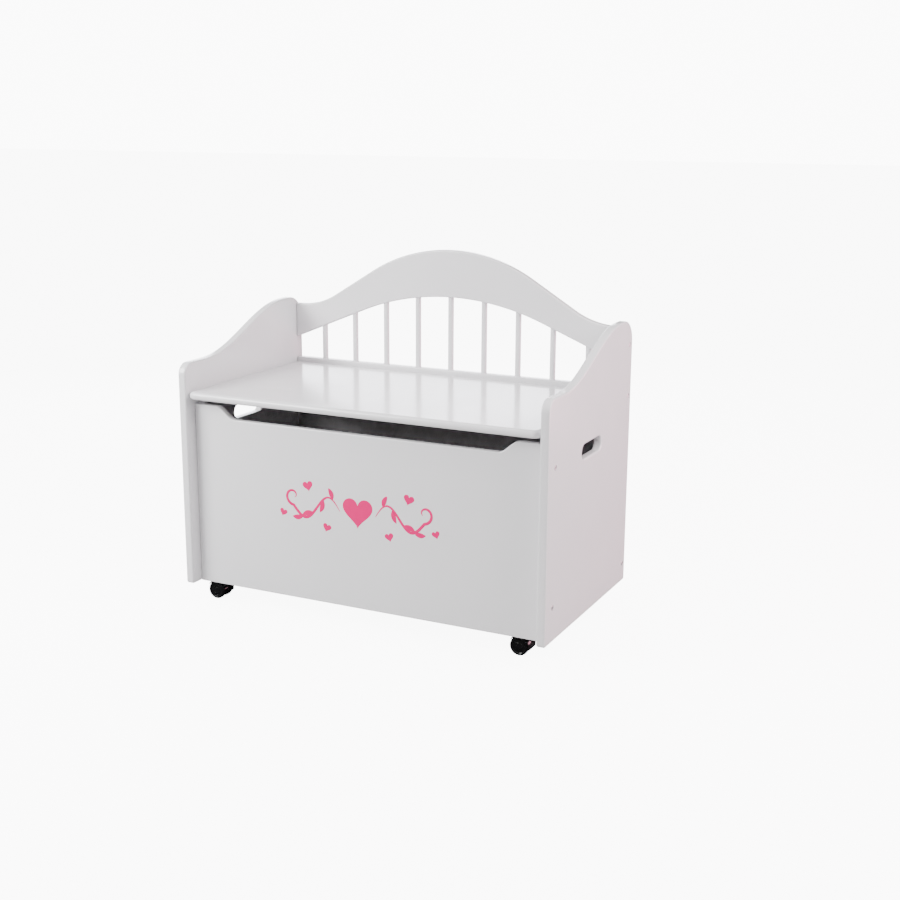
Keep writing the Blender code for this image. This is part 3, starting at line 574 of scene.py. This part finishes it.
def stadium_reach(half_straight, radius):
    """Distance from a slot's middle to its edge at an angle: to the straight sides while they
    last, and to the end circle past them; the slot grows by the given amount."""
    def reach(angle, grow):
        c, s, r = np.abs(np.cos(angle)), np.abs(np.sin(angle)), radius + grow
        to_side = r / np.maximum(s, 1e-9)
        to_end = half_straight * c + np.sqrt(np.maximum(r ** 2 - (half_straight * s) ** 2, 0))
        return np.where(to_side * c <= half_straight, to_side, to_end)
    return reach


def round_reach(radius):
    """Distance from a round bore's middle to its edge, grown by the given amount."""
    return lambda angle, grow: np.full(len(angle), radius + grow)


def lacquered(name, skin, node, body="box"):
    """A lacquered board in the place of a CAD node."""
    return piece(name, [skin], WHITE, body, [node])


def side_board(side, sign):
    """Winged side: foot corners, low arm, S-curve up to the wing, and the hand slot."""
    low, high, middle, size = extent("side_panel_" + side)
    front, back, base, top = low[1], high[1], low[2], high[2]
    arm = LID_TOP_Z + ARM_RISE
    foot, elbow, wing = SIDE_FOOT_RADIUS, ARM_CORNER_RADIUS, WING_CORNER_RADIUS
    outline = np.vstack([
        arc((front + foot, base + foot), foot, 270, 180, 6),
        arc((front + elbow, arm - elbow), elbow, 180, 90, 12),
        wave(front + ARM_LENGTH, back - WING_BACK_LENGTH, arm, top),
        arc((back - wing, top - wing), wing, 90, 0, 16),
        arc((back - foot, base + foot), foot, 0, -90, 6)])
    radius = SLOT_HEIGHT / 2
    slot_centre = np.array([front + SLOT_FROM_FRONT, LID_TOP_Z - SLOT_BELOW_LID])
    skin = pierced_board(outline, 0, middle[0], size[0], "yz", SIDE_ROUND, slot_centre,
                         stadium_reach(SLOT_LENGTH / 2 - radius, radius), SIDE_ROUND)
    made = lacquered("side_board_" + side, skin, "side_panel_" + side)
    face = middle[0] + sign * size[0] / 2
    drill(made, [((face, y, z), (sign, 0, 0), BOLT_RECESS_RADIUS, BOLT_RECESS_DEPTH)
                 for y, z in bolt_places(side)])


def front_board():
    """Front with the finger scoop sunk into its top edge by a half cosine wave at each end."""
    low, high, middle, size = extent("front_panel")
    start = high[0] - SCOOP_FROM_SIDE
    right = wave(start - SCOOP_RUN, start, high[2] - SCOOP_DEPTH, high[2])
    top = np.vstack([right[::-1], right * (-1, 1)])
    corners = [(low[0], high[2]), (low[0], low[2]), (high[0], low[2]), (high[0], high[2])]
    outline = np.vstack([top, corners])
    skin = board(outline, BOARD_CORNER, middle[1], size[1], "xz", BOARD_ROUND)
    lacquered("front_board", skin, "front_panel")


def crest_lines():
    """Upper and lower edge of the crest, from its left end to its right one."""
    _, high, _, _ = extent("crest_rail")
    upper = arch(high[0] - CREST_END_FLAT, CREST_DROP, CREST_CROWN_RADIUS, CREST_NECK_RADIUS)
    upper = np.vstack([upper, [(high[0], -CREST_DROP)]]) + (0, high[2])
    lower = arch(high[0], CREST_UNDER_DROP, CREST_UNDER_RADIUS, 0) + (0, high[2] - CREST_UNDER_DEPTH)
    return mirrored(upper), mirrored(lower)


def crest_board():
    """Arched crest with level ends."""
    _, _, middle, size = extent("crest_rail")
    upper, lower = crest_lines()
    outline = np.vstack([upper, lower[::-1]])
    skin = board(outline, BOARD_CORNER, middle[1], size[1], "xz", CREST_ROUND)
    lacquered("crest_board", skin, "crest_rail")


def lid_board():
    """Lid with a bullnose and rounded front corners."""
    low, high, middle, size = extent("lid")
    r = LID_CORNER_RADIUS
    outline = np.vstack([
        arc((low[0] + r, low[1] + r), r, 180, 270, 14), arc((high[0] - r, low[1] + r), r, 270, 360, 14),
        [(high[0], high[1]), (low[0], high[1])]])
    skin = board(outline, LID_REAR_RADIUS, middle[2], size[2], "xy", LID_ROUND)
    lacquered("lid_board", skin, "lid", "lid")


def plain_board(name, node, plane, radius):
    """A rectangular board in the place of a CAD box."""
    low, high, middle, size = extent(node)
    first, second, third = PLANES[plane]
    outline = rectangle((low[first], low[second]), (high[first], high[second]))
    skin = board(outline, radius, middle[third], size[third], plane, radius, spacing=0.02)
    lacquered(name, skin, node)


def spindles():
    """Dowels with a lacquer fillet where they leave the back board and meet the crest. A ring's
    radius is the dowel's plus FILLET_WIDTH times the square of its nearness to the board, and
    its height follows the back board's top edge or the curve of the crest's lower edge."""
    _, lower = crest_lines()
    back_top = extent("back_panel")[1][2]
    a = np.arange(40) * 2 * math.pi / 40
    near = np.linspace(0, 1, 5)
    foot, rise = FILLET_WIDTH * near[::-1] ** 2, FILLET_HEIGHT * near
    spread = np.concatenate([[0, 0], foot, foot[::-1], [0, 0]])
    at_crest = np.repeat([0.0, 1.0], 7)[:, None]
    for number in range(1, 10):
        node = "spindle_%d" % number
        low, _, middle, size = extent(node)
        lift = np.concatenate([[low[2] - back_top, -0.0005], rise, -rise[::-1],
                               [0.0005, SOCKET_DEPTH - 0.001]])[:, None]
        radius = (size[0] / 2 + spread)[:, None]
        x, y = middle[0] + radius * np.cos(a), middle[1] + radius * np.sin(a)
        under = np.interp(x, lower[:, 0], lower[:, 1])
        z = back_top * (1 - at_crest) + under * at_crest + lift
        skin = surface(np.stack([x, y, z], 2))
        lacquered("dowel_%d" % number, skin, node)


# ------ bolts and screws
BOLT_HEAD_RADIUS = 0.0055
BOLT_SHANK_RADIUS = 0.0030
BOLT_SOCKET_RADIUS = 0.0020
BOLT_DOME = 0.0020         # height of the head's domed part
SCREW_PROUD = 0.0001
LEAF_SCREW_RADIUS = 0.0034
EAR_SCREW_RADIUS = 0.0032
MOUNT_SCREW_RADIUS = 0.0030


def hexagon(angle):
    """Reach of a hexagon whose inscribed circle has radius 1."""
    sector = math.pi / 3
    return 1 / np.cos((angle % sector) - sector / 2)


def cross(angle):
    """Reach of a cross recess: long in four directions, short between them."""
    return 0.36 + 0.64 * np.clip(np.cos(2 * angle) ** 2, 0, 1) ** 6


def side_bolt(side, sign, number, y, z):
    """Button-head bolt with a hexagon socket: shank, head and socket walls in one skin, the
    head's top a quarter of an ellipse."""
    node = "side_bolt_%s_%d" % (side, number)
    head, shank, socket = BOLT_HEAD_RADIUS, BOLT_SHANK_RADIUS, BOLT_SOCKET_RADIUS
    low, high, _, _ = extent(node)
    face, length = high[0] if sign > 0 else low[0], high[0] - low[0]
    a = quarter(6)
    dome = np.stack([head - 0.0022 * (1 - np.cos(a)), BOLT_DOME * (np.sin(a) - 1)], 1)
    profile = np.vstack([
        [(shank / 2, -length), (shank, -length + 0.001), (shank, -0.0028), (head - 0.0003, -0.0028),
         (head, -0.0025)], dome,
        [(socket + 0.0002, 0.0), (socket, -0.0002), (socket, -0.0016), (socket / 2, -0.0020)]])
    socket_rings = slice(len(profile) - 4, len(profile) - 1)
    skin = turned(profile, (face, y, z), (sign, 0, 0), 48, (socket_rings, hexagon))
    piece("bolt_%s_%d" % (side, number), [skin], BOLT_STEEL, "box", [node])


def screw_head(centre, axis, radius):
    """Countersunk screw head with a cross recess, flush with the surface at centre."""
    profile = [(radius * 0.55, -radius * 0.45), (radius * 0.97, -0.0002), (radius, 0.0),
               (radius * 0.9, SCREW_PROUD), (radius * 0.66, SCREW_PROUD),
               (radius * 0.6, SCREW_PROUD - 0.00005), (radius * 0.5, -radius * 0.25),
               (radius * 0.1, -radius * 0.4)]
    return turned(profile, centre, axis, 48, (slice(5, 7), cross))


# ------ lid hinges
LEAF_THICK = 0.0020
LEAF_CORNER = 0.0045
FLANGE_CORNER = 0.003
EAR_RADIUS = 0.007         # rounded end of the ear about the pin
EAR_NECK = 0.0032          # straight part of the ear below the lid
PIN_RADIUS = 0.003


def hinge_plate(side, sign, axis_y):
    """Fixed leaf on the side board, a sheet with rounded corners and three screws."""
    node = "lid_hinge_%s_box_leaf" % side
    low, high, middle, size = extent(node)
    outline = rectangle((low[1], low[2]), (high[1], high[2]))
    plate = sheet(outline, LEAF_CORNER, middle[0], size[0], "yz")
    face = middle[0] - sign * size[0] / 2
    screws = [screw_head((face, axis_y + dy, low[2] + dz), (-sign, 0, 0), LEAF_SCREW_RADIUS)
              for dy, dz in ((-0.009, 0.008), (0.009, 0.008), (0.0, 0.020))]
    piece("hinge_plate_" + side, [plate], HINGE_STEEL, "box", [node])
    piece("hinge_plate_screws_" + side, screws, BOLT_STEEL, "box")


def hinge_ear(side, sign, axis_y, axis_z):
    """Angle leaf under the lid: a cheek whose lower end is a half circle about the pin, and a
    flange along the lid with three screws."""
    node = "lid_hinge_%s_lid_leaf" % side
    low, high, _, _ = extent(node)
    outer, inner = (high[0], low[0]) if sign > 0 else (low[0], high[0])
    under = high[2] - LEAF_THICK
    neck = high[2] - EAR_NECK
    outline = np.vstack([arc((axis_y, axis_z), EAR_RADIUS, 180, 360, 20),
                         [(high[1], neck), (high[1], high[2]), (low[1], high[2]), (low[1], neck)]])
    cheek = sheet(outline, SHEET_ROUND, outer - sign * LEAF_THICK / 2, LEAF_THICK, "yz", 0.002)
    root = outer - sign * SHEET_ROUND
    outline = rectangle((min(root, inner), low[1]), (max(root, inner), high[1]))
    flange = sheet(outline, FLANGE_CORNER, high[2] - LEAF_THICK / 2, LEAF_THICK, "xy")
    screws = [screw_head((outer - sign * dx, axis_y + dy, under), (0, 0, -1), EAR_SCREW_RADIUS)
              for dx, dy in ((0.011, -0.008), (0.011, 0.008), (0.022, 0.0))]
    piece("hinge_ear_" + side, [cheek, flange], HINGE_STEEL, "lid", [node])
    piece("hinge_ear_screws_" + side, screws, BOLT_STEEL, "lid")


def hinge_pin(side, sign, axis_y, axis_z):
    """Pin with a domed head: a rod, and a quarter of an ellipse turned about its axis."""
    node = "lid_hinge_%s_pin" % side
    low, high, _, size = extent(node)
    face = low[0] if sign > 0 else high[0]
    head, length = size[1] / 2, size[0]
    a = quarter(5)
    dome = np.stack([head * 0.55 + head * 0.45 * np.cos(a), 0.0015 * (np.sin(a) - 1)], 1)
    profile = np.vstack([
        [(PIN_RADIUS * 0.6, -length), (PIN_RADIUS, -length + 0.0004), (PIN_RADIUS, -0.0025),
         (head - 0.0003, -0.0025), (head, -0.0022)], dome, [(head * 0.2, 0.0)]])
    skin = turned(profile, (face, axis_y, axis_z), (-sign, 0, 0), 40)
    piece("hinge_rivet_" + side, [skin], BOLT_STEEL, "box", [node])


def lid_hinge(side, sign):
    """One hinge about the lid joint's axis: fixed leaf, moving leaf and pin."""
    axis_y, axis_z = JOINTS["lid_hinge"][1:]
    hinge_plate(side, sign, axis_y)
    hinge_ear(side, sign, axis_y, axis_z)
    hinge_pin(side, sign, axis_y, axis_z)


# ------ casters
WHEEL_RADIUS = 0.020
WHEEL_WIDTH = 0.012
WHEEL_OFFSET = 0.0125      # caster's middle plane to a wheel's middle
WEB_THICK = 0.012
WEB_LOW_RADIUS = 0.015
HOOD_ANGLES = (35.0, 195.0)
HOOD_RADIUS = 0.0234
HOOD_THICK = 0.0022
HOOD_HALF_WIDTH = 0.0193
HOOD_CROWN = 0.0012        # the hood's sides lie this much nearer the axle than its middle
HOOD_TIP = 0.0009          # radius that draws the hood's ends in
BORE_RADIUS = 0.0034
BOSS_RADIUS = 0.0058
PLATE_HALF = 0.019
PLATE_THICK = 0.0025
PLATE_CORNER = 0.005
SCREW_FROM_EDGE = 0.0055
RACE_RADIUS = 0.010
RACE_HEIGHT = 0.0014
STEM_RADIUS = 0.0035


def hood(trail):
    """Mudguard over both wheels: a flat ring section, crowned by the fourth power of its
    sideways distance, carried along an arc about the axle, its ends drawn in round."""
    ease = np.linspace(0, math.pi / 2, 5)
    start, end = np.radians(HOOD_ANGLES)
    tip = HOOD_TIP / HOOD_RADIUS
    along, inwards = tip * (1 - np.cos(ease)), HOOD_TIP * (1 - np.sin(ease))
    middle = np.linspace(start + 2 * tip, end - 2 * tip, 26)
    angle = np.concatenate([start + along, middle, end - along[::-1]])
    drawn = np.concatenate([inwards, 0 * middle, inwards[::-1]])
    section = rectangle((-HOOD_HALF_WIDTH, -HOOD_THICK), (HOOD_HALF_WIDTH, 0.0))
    flat = contours(section, 0.0010, drawn, 0.0024)
    radius = HOOD_RADIUS + flat[..., 1] - HOOD_CROWN * (flat[..., 0] / HOOD_HALF_WIDTH) ** 4
    x = trail + radius * np.cos(angle)[:, None]
    z = WHEEL_RADIUS + radius * np.sin(angle)[:, None]
    return surface(np.stack([x, flat[..., 0], z], 2))


def web(trail):
    """Rib between the wheels with the axle's bore: up to the hood above, smaller below."""
    start, end = HOOD_ANGLES
    axle = np.array([trail, WHEEL_RADIUS])
    outline = np.vstack([arc(axle, HOOD_RADIUS - HOOD_THICK / 2, start, end, 40),
                         arc(axle, WEB_LOW_RADIUS, end, start + 360, 40)])
    return pierced_board(outline, BOARD_CORNER, 0.0, WEB_THICK, "xz", SHEET_ROUND, axle,
                         round_reach(BORE_RADIUS), 0.0003, between=2, spacing=0.0014)


def wheel_skin():
    """Radius and height of a wheel's skin from its inner face to its outer one: bore mouth,
    tread with round shoulders, raised rim, dished face and hub cap."""
    r, half = WHEEL_RADIUS, WHEEL_WIDTH / 2
    inner_face = [(BORE_RADIUS, 0.0006 - half), (0.0040, -half), (r - 0.0030, -half)]
    inner_shoulder = [(r - 0.0014, 0.0002 - half), (r - 0.0004, 0.0010 - half), (r, 0.0024 - half)]
    outer_shoulder = [(r, half - 0.0036), (r - 0.0003, half - 0.0024), (r - 0.0012, half - 0.0012)]
    rim = [(r - 0.0026, half - 0.0003), (r - 0.0036, half), (r - 0.0046, half),
           (r - 0.0052, half - 0.0004)]
    dish = [(r - 0.0058, half - 0.0014), (r - 0.0070, half - 0.0018)]
    hub_cap = [(0.0086, half - 0.0012), (0.0080, half - 0.0008), (0.0076, half - 0.0002),
               (0.0070, half), (0.0040, half), (0.0020, half)]
    return np.vstack([inner_face, inner_shoulder, outer_shoulder, rim, dish, hub_cap])


def stood(skin, turn, place):
    """A skin worked out about the swivel axis, turned about it and stood in its place."""
    verts, quads, ends = skin
    c, s = math.cos(turn), math.sin(turn)
    return verts @ np.array([[c, s, 0], [-s, c, 0], [0, 0, 1]]) + place, quads, ends


def caster_mount(corner, stem):
    """Mounting plate with rounded corners and four screws, and the ball race with its stem."""
    low, high, _, _ = extent("caster_plate_" + corner)
    under = high[2] - PLATE_THICK
    blank = rectangle((-PLATE_HALF, -PLATE_HALF), (PLATE_HALF, PLATE_HALF))
    plate = sheet(blank, PLATE_CORNER, high[2] - PLATE_THICK / 2, PLATE_THICK, "xy")
    a, edge, foot = quarter(5), 0.0012, low[2] - under
    race_edge = np.stack([RACE_RADIUS - edge + edge * np.cos(a), -edge * np.sin(a)], 1)
    race_profile = np.vstack([
        [(0.006, 0.0004), (RACE_RADIUS, 0.0004)], race_edge,
        [(0.006, -RACE_HEIGHT), (STEM_RADIUS + 0.0001, -RACE_HEIGHT), (STEM_RADIUS, -0.0018),
         (STEM_RADIUS, foot + 0.0004), (STEM_RADIUS - 0.0004, foot)]])
    race = turned(race_profile, (0, 0, under), (0, 0, 1), 48)
    piece("caster_mount_" + corner, [stood(plate, 0, stem), stood(race, 0, stem)], BLACK, "box",
          ["caster_plate_" + corner])
    reach = PLATE_HALF - SCREW_FROM_EDGE
    screws = [screw_head(stem + (sx * reach, sy * reach, under), (0, 0, -1), MOUNT_SCREW_RADIUS)
              for sx in (-1, 1) for sy in (-1, 1)]
    piece("caster_screws_" + corner, screws, BOLT_STEEL, "box")
    return under


def caster(corner):
    """One caster: mounting plate with screws and ball race, housing, and two wheels. It stands
    turned as its joints say: the axle lies at the trail's end."""
    stem = JOINTS["caster_swivel_" + corner] * (1, 1, 0)
    way = JOINTS["wheel_spin_" + corner] * (1, 1, 0) - stem
    trail, turn = float(np.linalg.norm(way)), math.atan2(way[1], way[0])
    under = caster_mount(corner, stem)
    foot, top = WHEEL_RADIUS + 0.006, under - RACE_HEIGHT - 0.0003
    boss = turned([(0.0040, foot), (0.0050, foot), (BOSS_RADIUS, foot + 0.0008),
                   (BOSS_RADIUS, top - 0.0006), (BOSS_RADIUS - 0.0004, top - 0.0001),
                   (0.0046, top), (0.0040, top)], (0, 0, 0), (0, 0, 1), 40)
    housing = [stood(skin, turn, stem) for skin in (hood(trail), web(trail), boss)]
    piece("caster_body_" + corner, housing, BLACK,
          "caster_" + corner, ["caster_housing_" + corner])
    for label, sign in (("a", -1), ("b", 1)):
        wheel = turned(wheel_skin(), (trail, sign * WHEEL_OFFSET, WHEEL_RADIUS), (0, sign, 0), 72)
        piece("wheel_%s_%s" % (label, corner), [stood(wheel, turn, stem)], BLACK,
              "wheels_" + corner, ["caster_wheel_%s_%s" % (label, corner)])
    axle = frame["nodes"]["caster_axle_" + corner].data.materials
    axle.clear()
    axle.append(AXLE_STEEL)


# ------ garland on the front
FILM_THICK = 0.00025


def film_stroke(points, widths, face):
    """A cut film ribbon: a half round section, twice its width along the path's normal and
    FILM_THICK high, carried along the path, and drawn to a point at both ends."""
    points, widths = np.asarray(points, float), np.asarray(widths, float)
    tangent = np.gradient(points, axis=0)
    tangent /= np.linalg.norm(tangent, axis=1)[:, None]
    normal = np.stack([-tangent[:, 1], tangent[:, 0]], 1)
    across = np.array([-1.0, -0.96, -0.8, 0.0, 0.8, 0.96, 1.0, 0.5, 0.0, -0.5])
    proud = np.array([0.15, 0.6, 0.95, 1.0, 0.95, 0.6, 0.15, -0.2, -0.2, -0.2])
    flat = points[:, None] + normal[:, None] * (across * widths[:, None])[..., None]
    depth = np.broadcast_to(face - proud * FILM_THICK, flat.shape[:2])
    return surface(np.stack([flat[..., 0], depth, flat[..., 1]], 2))


def heart(centre, size, turn, face, steps=72):
    """A heart of cut film: x = 16 sin^3 t, z = 13 cos t - 5 cos 2t - 2 cos 3t - cos 4t, shrunk
    towards its middle ring by ring, the top FILM_THICK proud with a soft rim."""
    t = np.linspace(0, 2 * math.pi, steps, endpoint=False)
    z = 13 * np.cos(t) - 5 * np.cos(2 * t) - 2 * np.cos(3 * t) - np.cos(4 * t) + 2.5
    shape = np.stack([16 * np.sin(t) ** 3, z], 1) * size / 32
    c, s = math.cos(turn), math.sin(turn)
    shape = shape @ np.array([[c, s], [-s, c]])
    section = ((0.6, -0.2), (1.0, -0.2), (1.0, 0.3), (0.985, 0.8), (0.96, 1.0), (0.9, 1.0), (0.5, 1.0))
    return surface([placed(shape * scale + centre, face - proud * FILM_THICK, "xz")
                    for scale, proud in section])


GARLAND_X = -0.006
GARLAND_HEIGHT = 0.205     # heart's middle above the front board's lower edge
HEART_SIZE = 0.070
VINE_START, VINE_RUN, VINE_SWAY = 0.042, 0.112, 0.028
VINE_HALF_WIDTH, LEAF_HALF_WIDTH = 0.0032, 0.0054
CURL_RADIUS = 0.020
# share of the vine's run, side that the leaf leans to, length
LEAVES = ((0.16, 1, 0.026), (0.36, -1, 0.029), (0.58, 1, 0.029), (0.80, -1, 0.026))
# x and z from the large heart, size, lean
SMALL_HEARTS = ((0.074, -0.040, 0.020, 0.3), (0.118, 0.044, 0.024, -0.25),
                (0.180, -0.020, 0.018, 0.35))


def leaf_path(vine, at, lean, length):
    """A leaf's middle line: it leaves the vine at an angle that closes evenly along it."""
    k = int(at * (len(vine) - 1))
    run = vine[k + 1] - vine[k - 1]
    bend = math.atan2(run[1], run[0]) + lean * (0.9 - 0.7 * np.linspace(0, 1, 16))
    step = length / 15 * np.stack([np.cos(bend), np.sin(bend)], 1)
    return vine[k] + np.cumsum(step, 0) - step[0]


def garland():
    """A pink garland: two mirrored vines, z = a sin(2 pi t) (1 - t / 4) along them, each ending in
    a curl of shrinking radius, with bent leaves and small hearts about a large one. A ribbon's
    width goes as a power of sin(pi t), so that it swells in the middle."""
    low = extent("front_panel")[0]
    face = low[1]
    centre = np.array([GARLAND_X, low[2] + GARLAND_HEIGHT])
    skins = [heart(centre, HEART_SIZE, 0.0, face)]
    t, turn = np.linspace(0, 1, 90), np.linspace(0, 1, 70)[1:]
    sway = VINE_SWAY * np.sin(2 * math.pi * t) * (1 - 0.25 * t)
    vine = np.stack([VINE_START + VINE_RUN * t, sway], 1)
    reach, swing = CURL_RADIUS * (1 - 0.78 * turn), -math.pi / 2 + 1.7 * math.pi * turn
    curl = vine[-1] + (0, CURL_RADIUS) + reach[:, None] * np.stack([np.cos(swing), np.sin(swing)], 1)
    path = np.vstack([vine, curl])
    width = VINE_HALF_WIDTH * np.sin(math.pi * np.linspace(0.02, 0.985, len(path))) ** 0.6
    leaf_width = LEAF_HALF_WIDTH * np.sin(math.pi * np.linspace(0.03, 0.985, 16)) ** 0.8
    for sign in (-1, 1):
        skins.append(film_stroke(path * (sign, 1) + centre, width, face))
        skins += [film_stroke(leaf_path(vine, *leaf) * (sign, 1) + centre, leaf_width, face)
                  for leaf in LEAVES]
        skins += [heart(centre + (sign * x, z), size, sign * lean, face)
                  for x, z, size, lean in SMALL_HEARTS]
    piece("front_garland", skins, PINK, "box")


for side_name, side_sign in SIDES:
    side_board(side_name, side_sign)
    for bolt_number, (bolt_y, bolt_z) in enumerate(bolt_places(side_name), start=1):
        side_bolt(side_name, side_sign, bolt_number, bolt_y, bolt_z)
    plain_board("runner_" + side_name, "caster_runner_" + side_name, "xy", STRIP_ROUND)
    plain_board("lid_ledge_" + side_name, "lid_rest_" + side_name, "xy", STRIP_ROUND)
    lid_hinge(side_name, side_sign)
front_board()
crest_board()
lid_board()
plain_board("back_board", "back_panel", "xz", BOARD_ROUND)
plain_board("chest_floor", "bottom_panel", "xy", STRIP_ROUND)
plain_board("batten_front", "bottom_batten_front", "xy", STRIP_ROUND)
plain_board("batten_back", "bottom_batten_back", "xy", STRIP_ROUND)
spindles()
for corner_name in CORNERS:
    caster(corner_name)
garland()


# ------ floor, light and camera
def by_ray(tree, ray, seen, otherwise):
    """One number for the named kind of ray and another for all the others."""
    mix = tree.nodes.new("ShaderNodeMix")
    tree.links.new(tree.nodes.new("ShaderNodeLightPath").outputs[ray], mix.inputs["Factor"])
    mix.inputs["B"].default_value = seen
    feed(tree, otherwise, mix.inputs["A"])
    return mix.outputs["Result"]


def pale_floor():
    """A wide, flat sheet on the floor's plane, lifted towards white for the camera, and darker as glossy
    parts see it: painted shade in their reflections.
    """
    mesh = bpy.data.meshes.new("floor")
    x, y = np.meshgrid([-30.0, 30.0], [-30.0, 30.0])
    corners = np.stack([x.ravel(), y.ravel(), np.zeros(4)], 1)
    mesh.from_pydata(corners[[0, 1, 3, 2]].tolist(), [], [(0, 1, 2, 3)])
    material, tree, shader = new_material("pale_floor")
    shader.inputs["Roughness"].default_value = 0.9
    # Painted reflection: glossy rays see the floor at 0.10 instead of 0.52, so the black casters and
    # other glossy parts mirror a darker floor than the lamps light.
    tree.links.new(by_ray(tree, "Is Glossy Ray", 0.10, 0.52), shader.inputs["Base Color"])
    shader.inputs["Specular IOR Level"].default_value = 0.1
    shader.inputs["Emission Color"].default_value = (1.0, 1.0, 1.0, 1.0)
    tree.links.new(by_ray(tree, "Is Camera Ray", 9.0, 0.0), shader.inputs["Emission Strength"])
    mesh.materials.append(material)
    stand("floor", mesh)


def soft_light(name, place, aim, size, watts, colour):
    """A rectangular lamp that the camera doesn't see."""
    light = bpy.data.lights.new(name, "AREA")
    light.shape = "RECTANGLE"
    light.size, light.size_y = size
    light.energy = watts
    light.color = colour
    lamp = stand(name, light)
    lamp.location = place
    lamp.rotation_euler = (Vector(aim) - Vector(place)).to_track_quat("-Z", "Y").to_euler()
    lamp.visible_camera = False


# name, place, aim, size, watts, colour
LAMPS = (
    ("key", (-1.25, -1.35, 1.35), (-0.25, 0, 0.45), (1.0, 1.0), 74, (1.0, 1.0, 1.0)),
    ("side_light", (1.6, -0.2, 1.35), (0.42, -0.05, 0.4), (0.9, 0.9), 38, (1.0, 0.93, 0.94)),
    ("pink_fill", (1.6, 1.3, 0.45), (0.42, 0.1, 0.35), (0.9, 0.9), 30, (1.0, 0.48, 0.60)),
    ("back_glow", (-1.5, 2.2, 1.15), (-0.1, 0, 0.47), (2.2, 1.1), 54, (0.94, 0.94, 1.0)))
BACKDROP = 10.7            # brightness that the camera sees behind the box
AROUND, OVERHEAD = 0.22, 1.42


def studio():
    """White surroundings, brighter overhead as the square of the height, a soft key from the
    left front, lights at the right with a pink one low behind, and a glow that the seat mirrors."""
    world = bpy.data.worlds.new("white_studio")
    bpy.context.scene.world = world
    world.use_nodes = True
    tree = world.node_tree
    background = tree.nodes["Background"]
    background.inputs["Color"].default_value = (1.0, 1.0, 1.0, 1.0)
    way = tree.nodes.new("ShaderNodeSeparateXYZ")
    tree.links.new(tree.nodes.new("ShaderNodeTexCoord").outputs["Generated"], way.inputs["Vector"])
    square = maths(tree, "MULTIPLY", way.outputs["Z"], way.outputs["Z"])
    glow = maths(tree, "ADD", maths(tree, "MULTIPLY", square, OVERHEAD), AROUND)
    tree.links.new(by_ray(tree, "Is Camera Ray", BACKDROP, glow), background.inputs["Strength"])
    for lamp in LAMPS:
        soft_light(*lamp)


def camera():
    """The camera at a standing child's eye height, to the right of the front."""
    place = Vector((1.3439, -2.5212, 1.0441))
    yaw, pitch, roll = 0.4589, -0.2412, 0.0047
    forward = Vector((-math.sin(yaw) * math.cos(pitch), math.cos(yaw) * math.cos(pitch), math.sin(pitch)))
    right = Vector((math.cos(yaw), math.sin(yaw), 0.0))
    up = right.cross(forward)
    rolled_right = right * math.cos(roll) + up * math.sin(roll)
    rolled_up = up * math.cos(roll) - right * math.sin(roll)
    data = bpy.data.cameras.new("view")
    data.sensor_width = 36.0
    data.lens = 54.56
    data.shift_x, data.shift_y = 0.0031, 0.0014
    view = stand("view", data)
    columns = Matrix((rolled_right, rolled_up, -forward)).transposed()
    view.matrix_world = Matrix.Translation(place) @ columns.to_4x4()
    bpy.context.scene.camera = view


pale_floor()
studio()
camera()
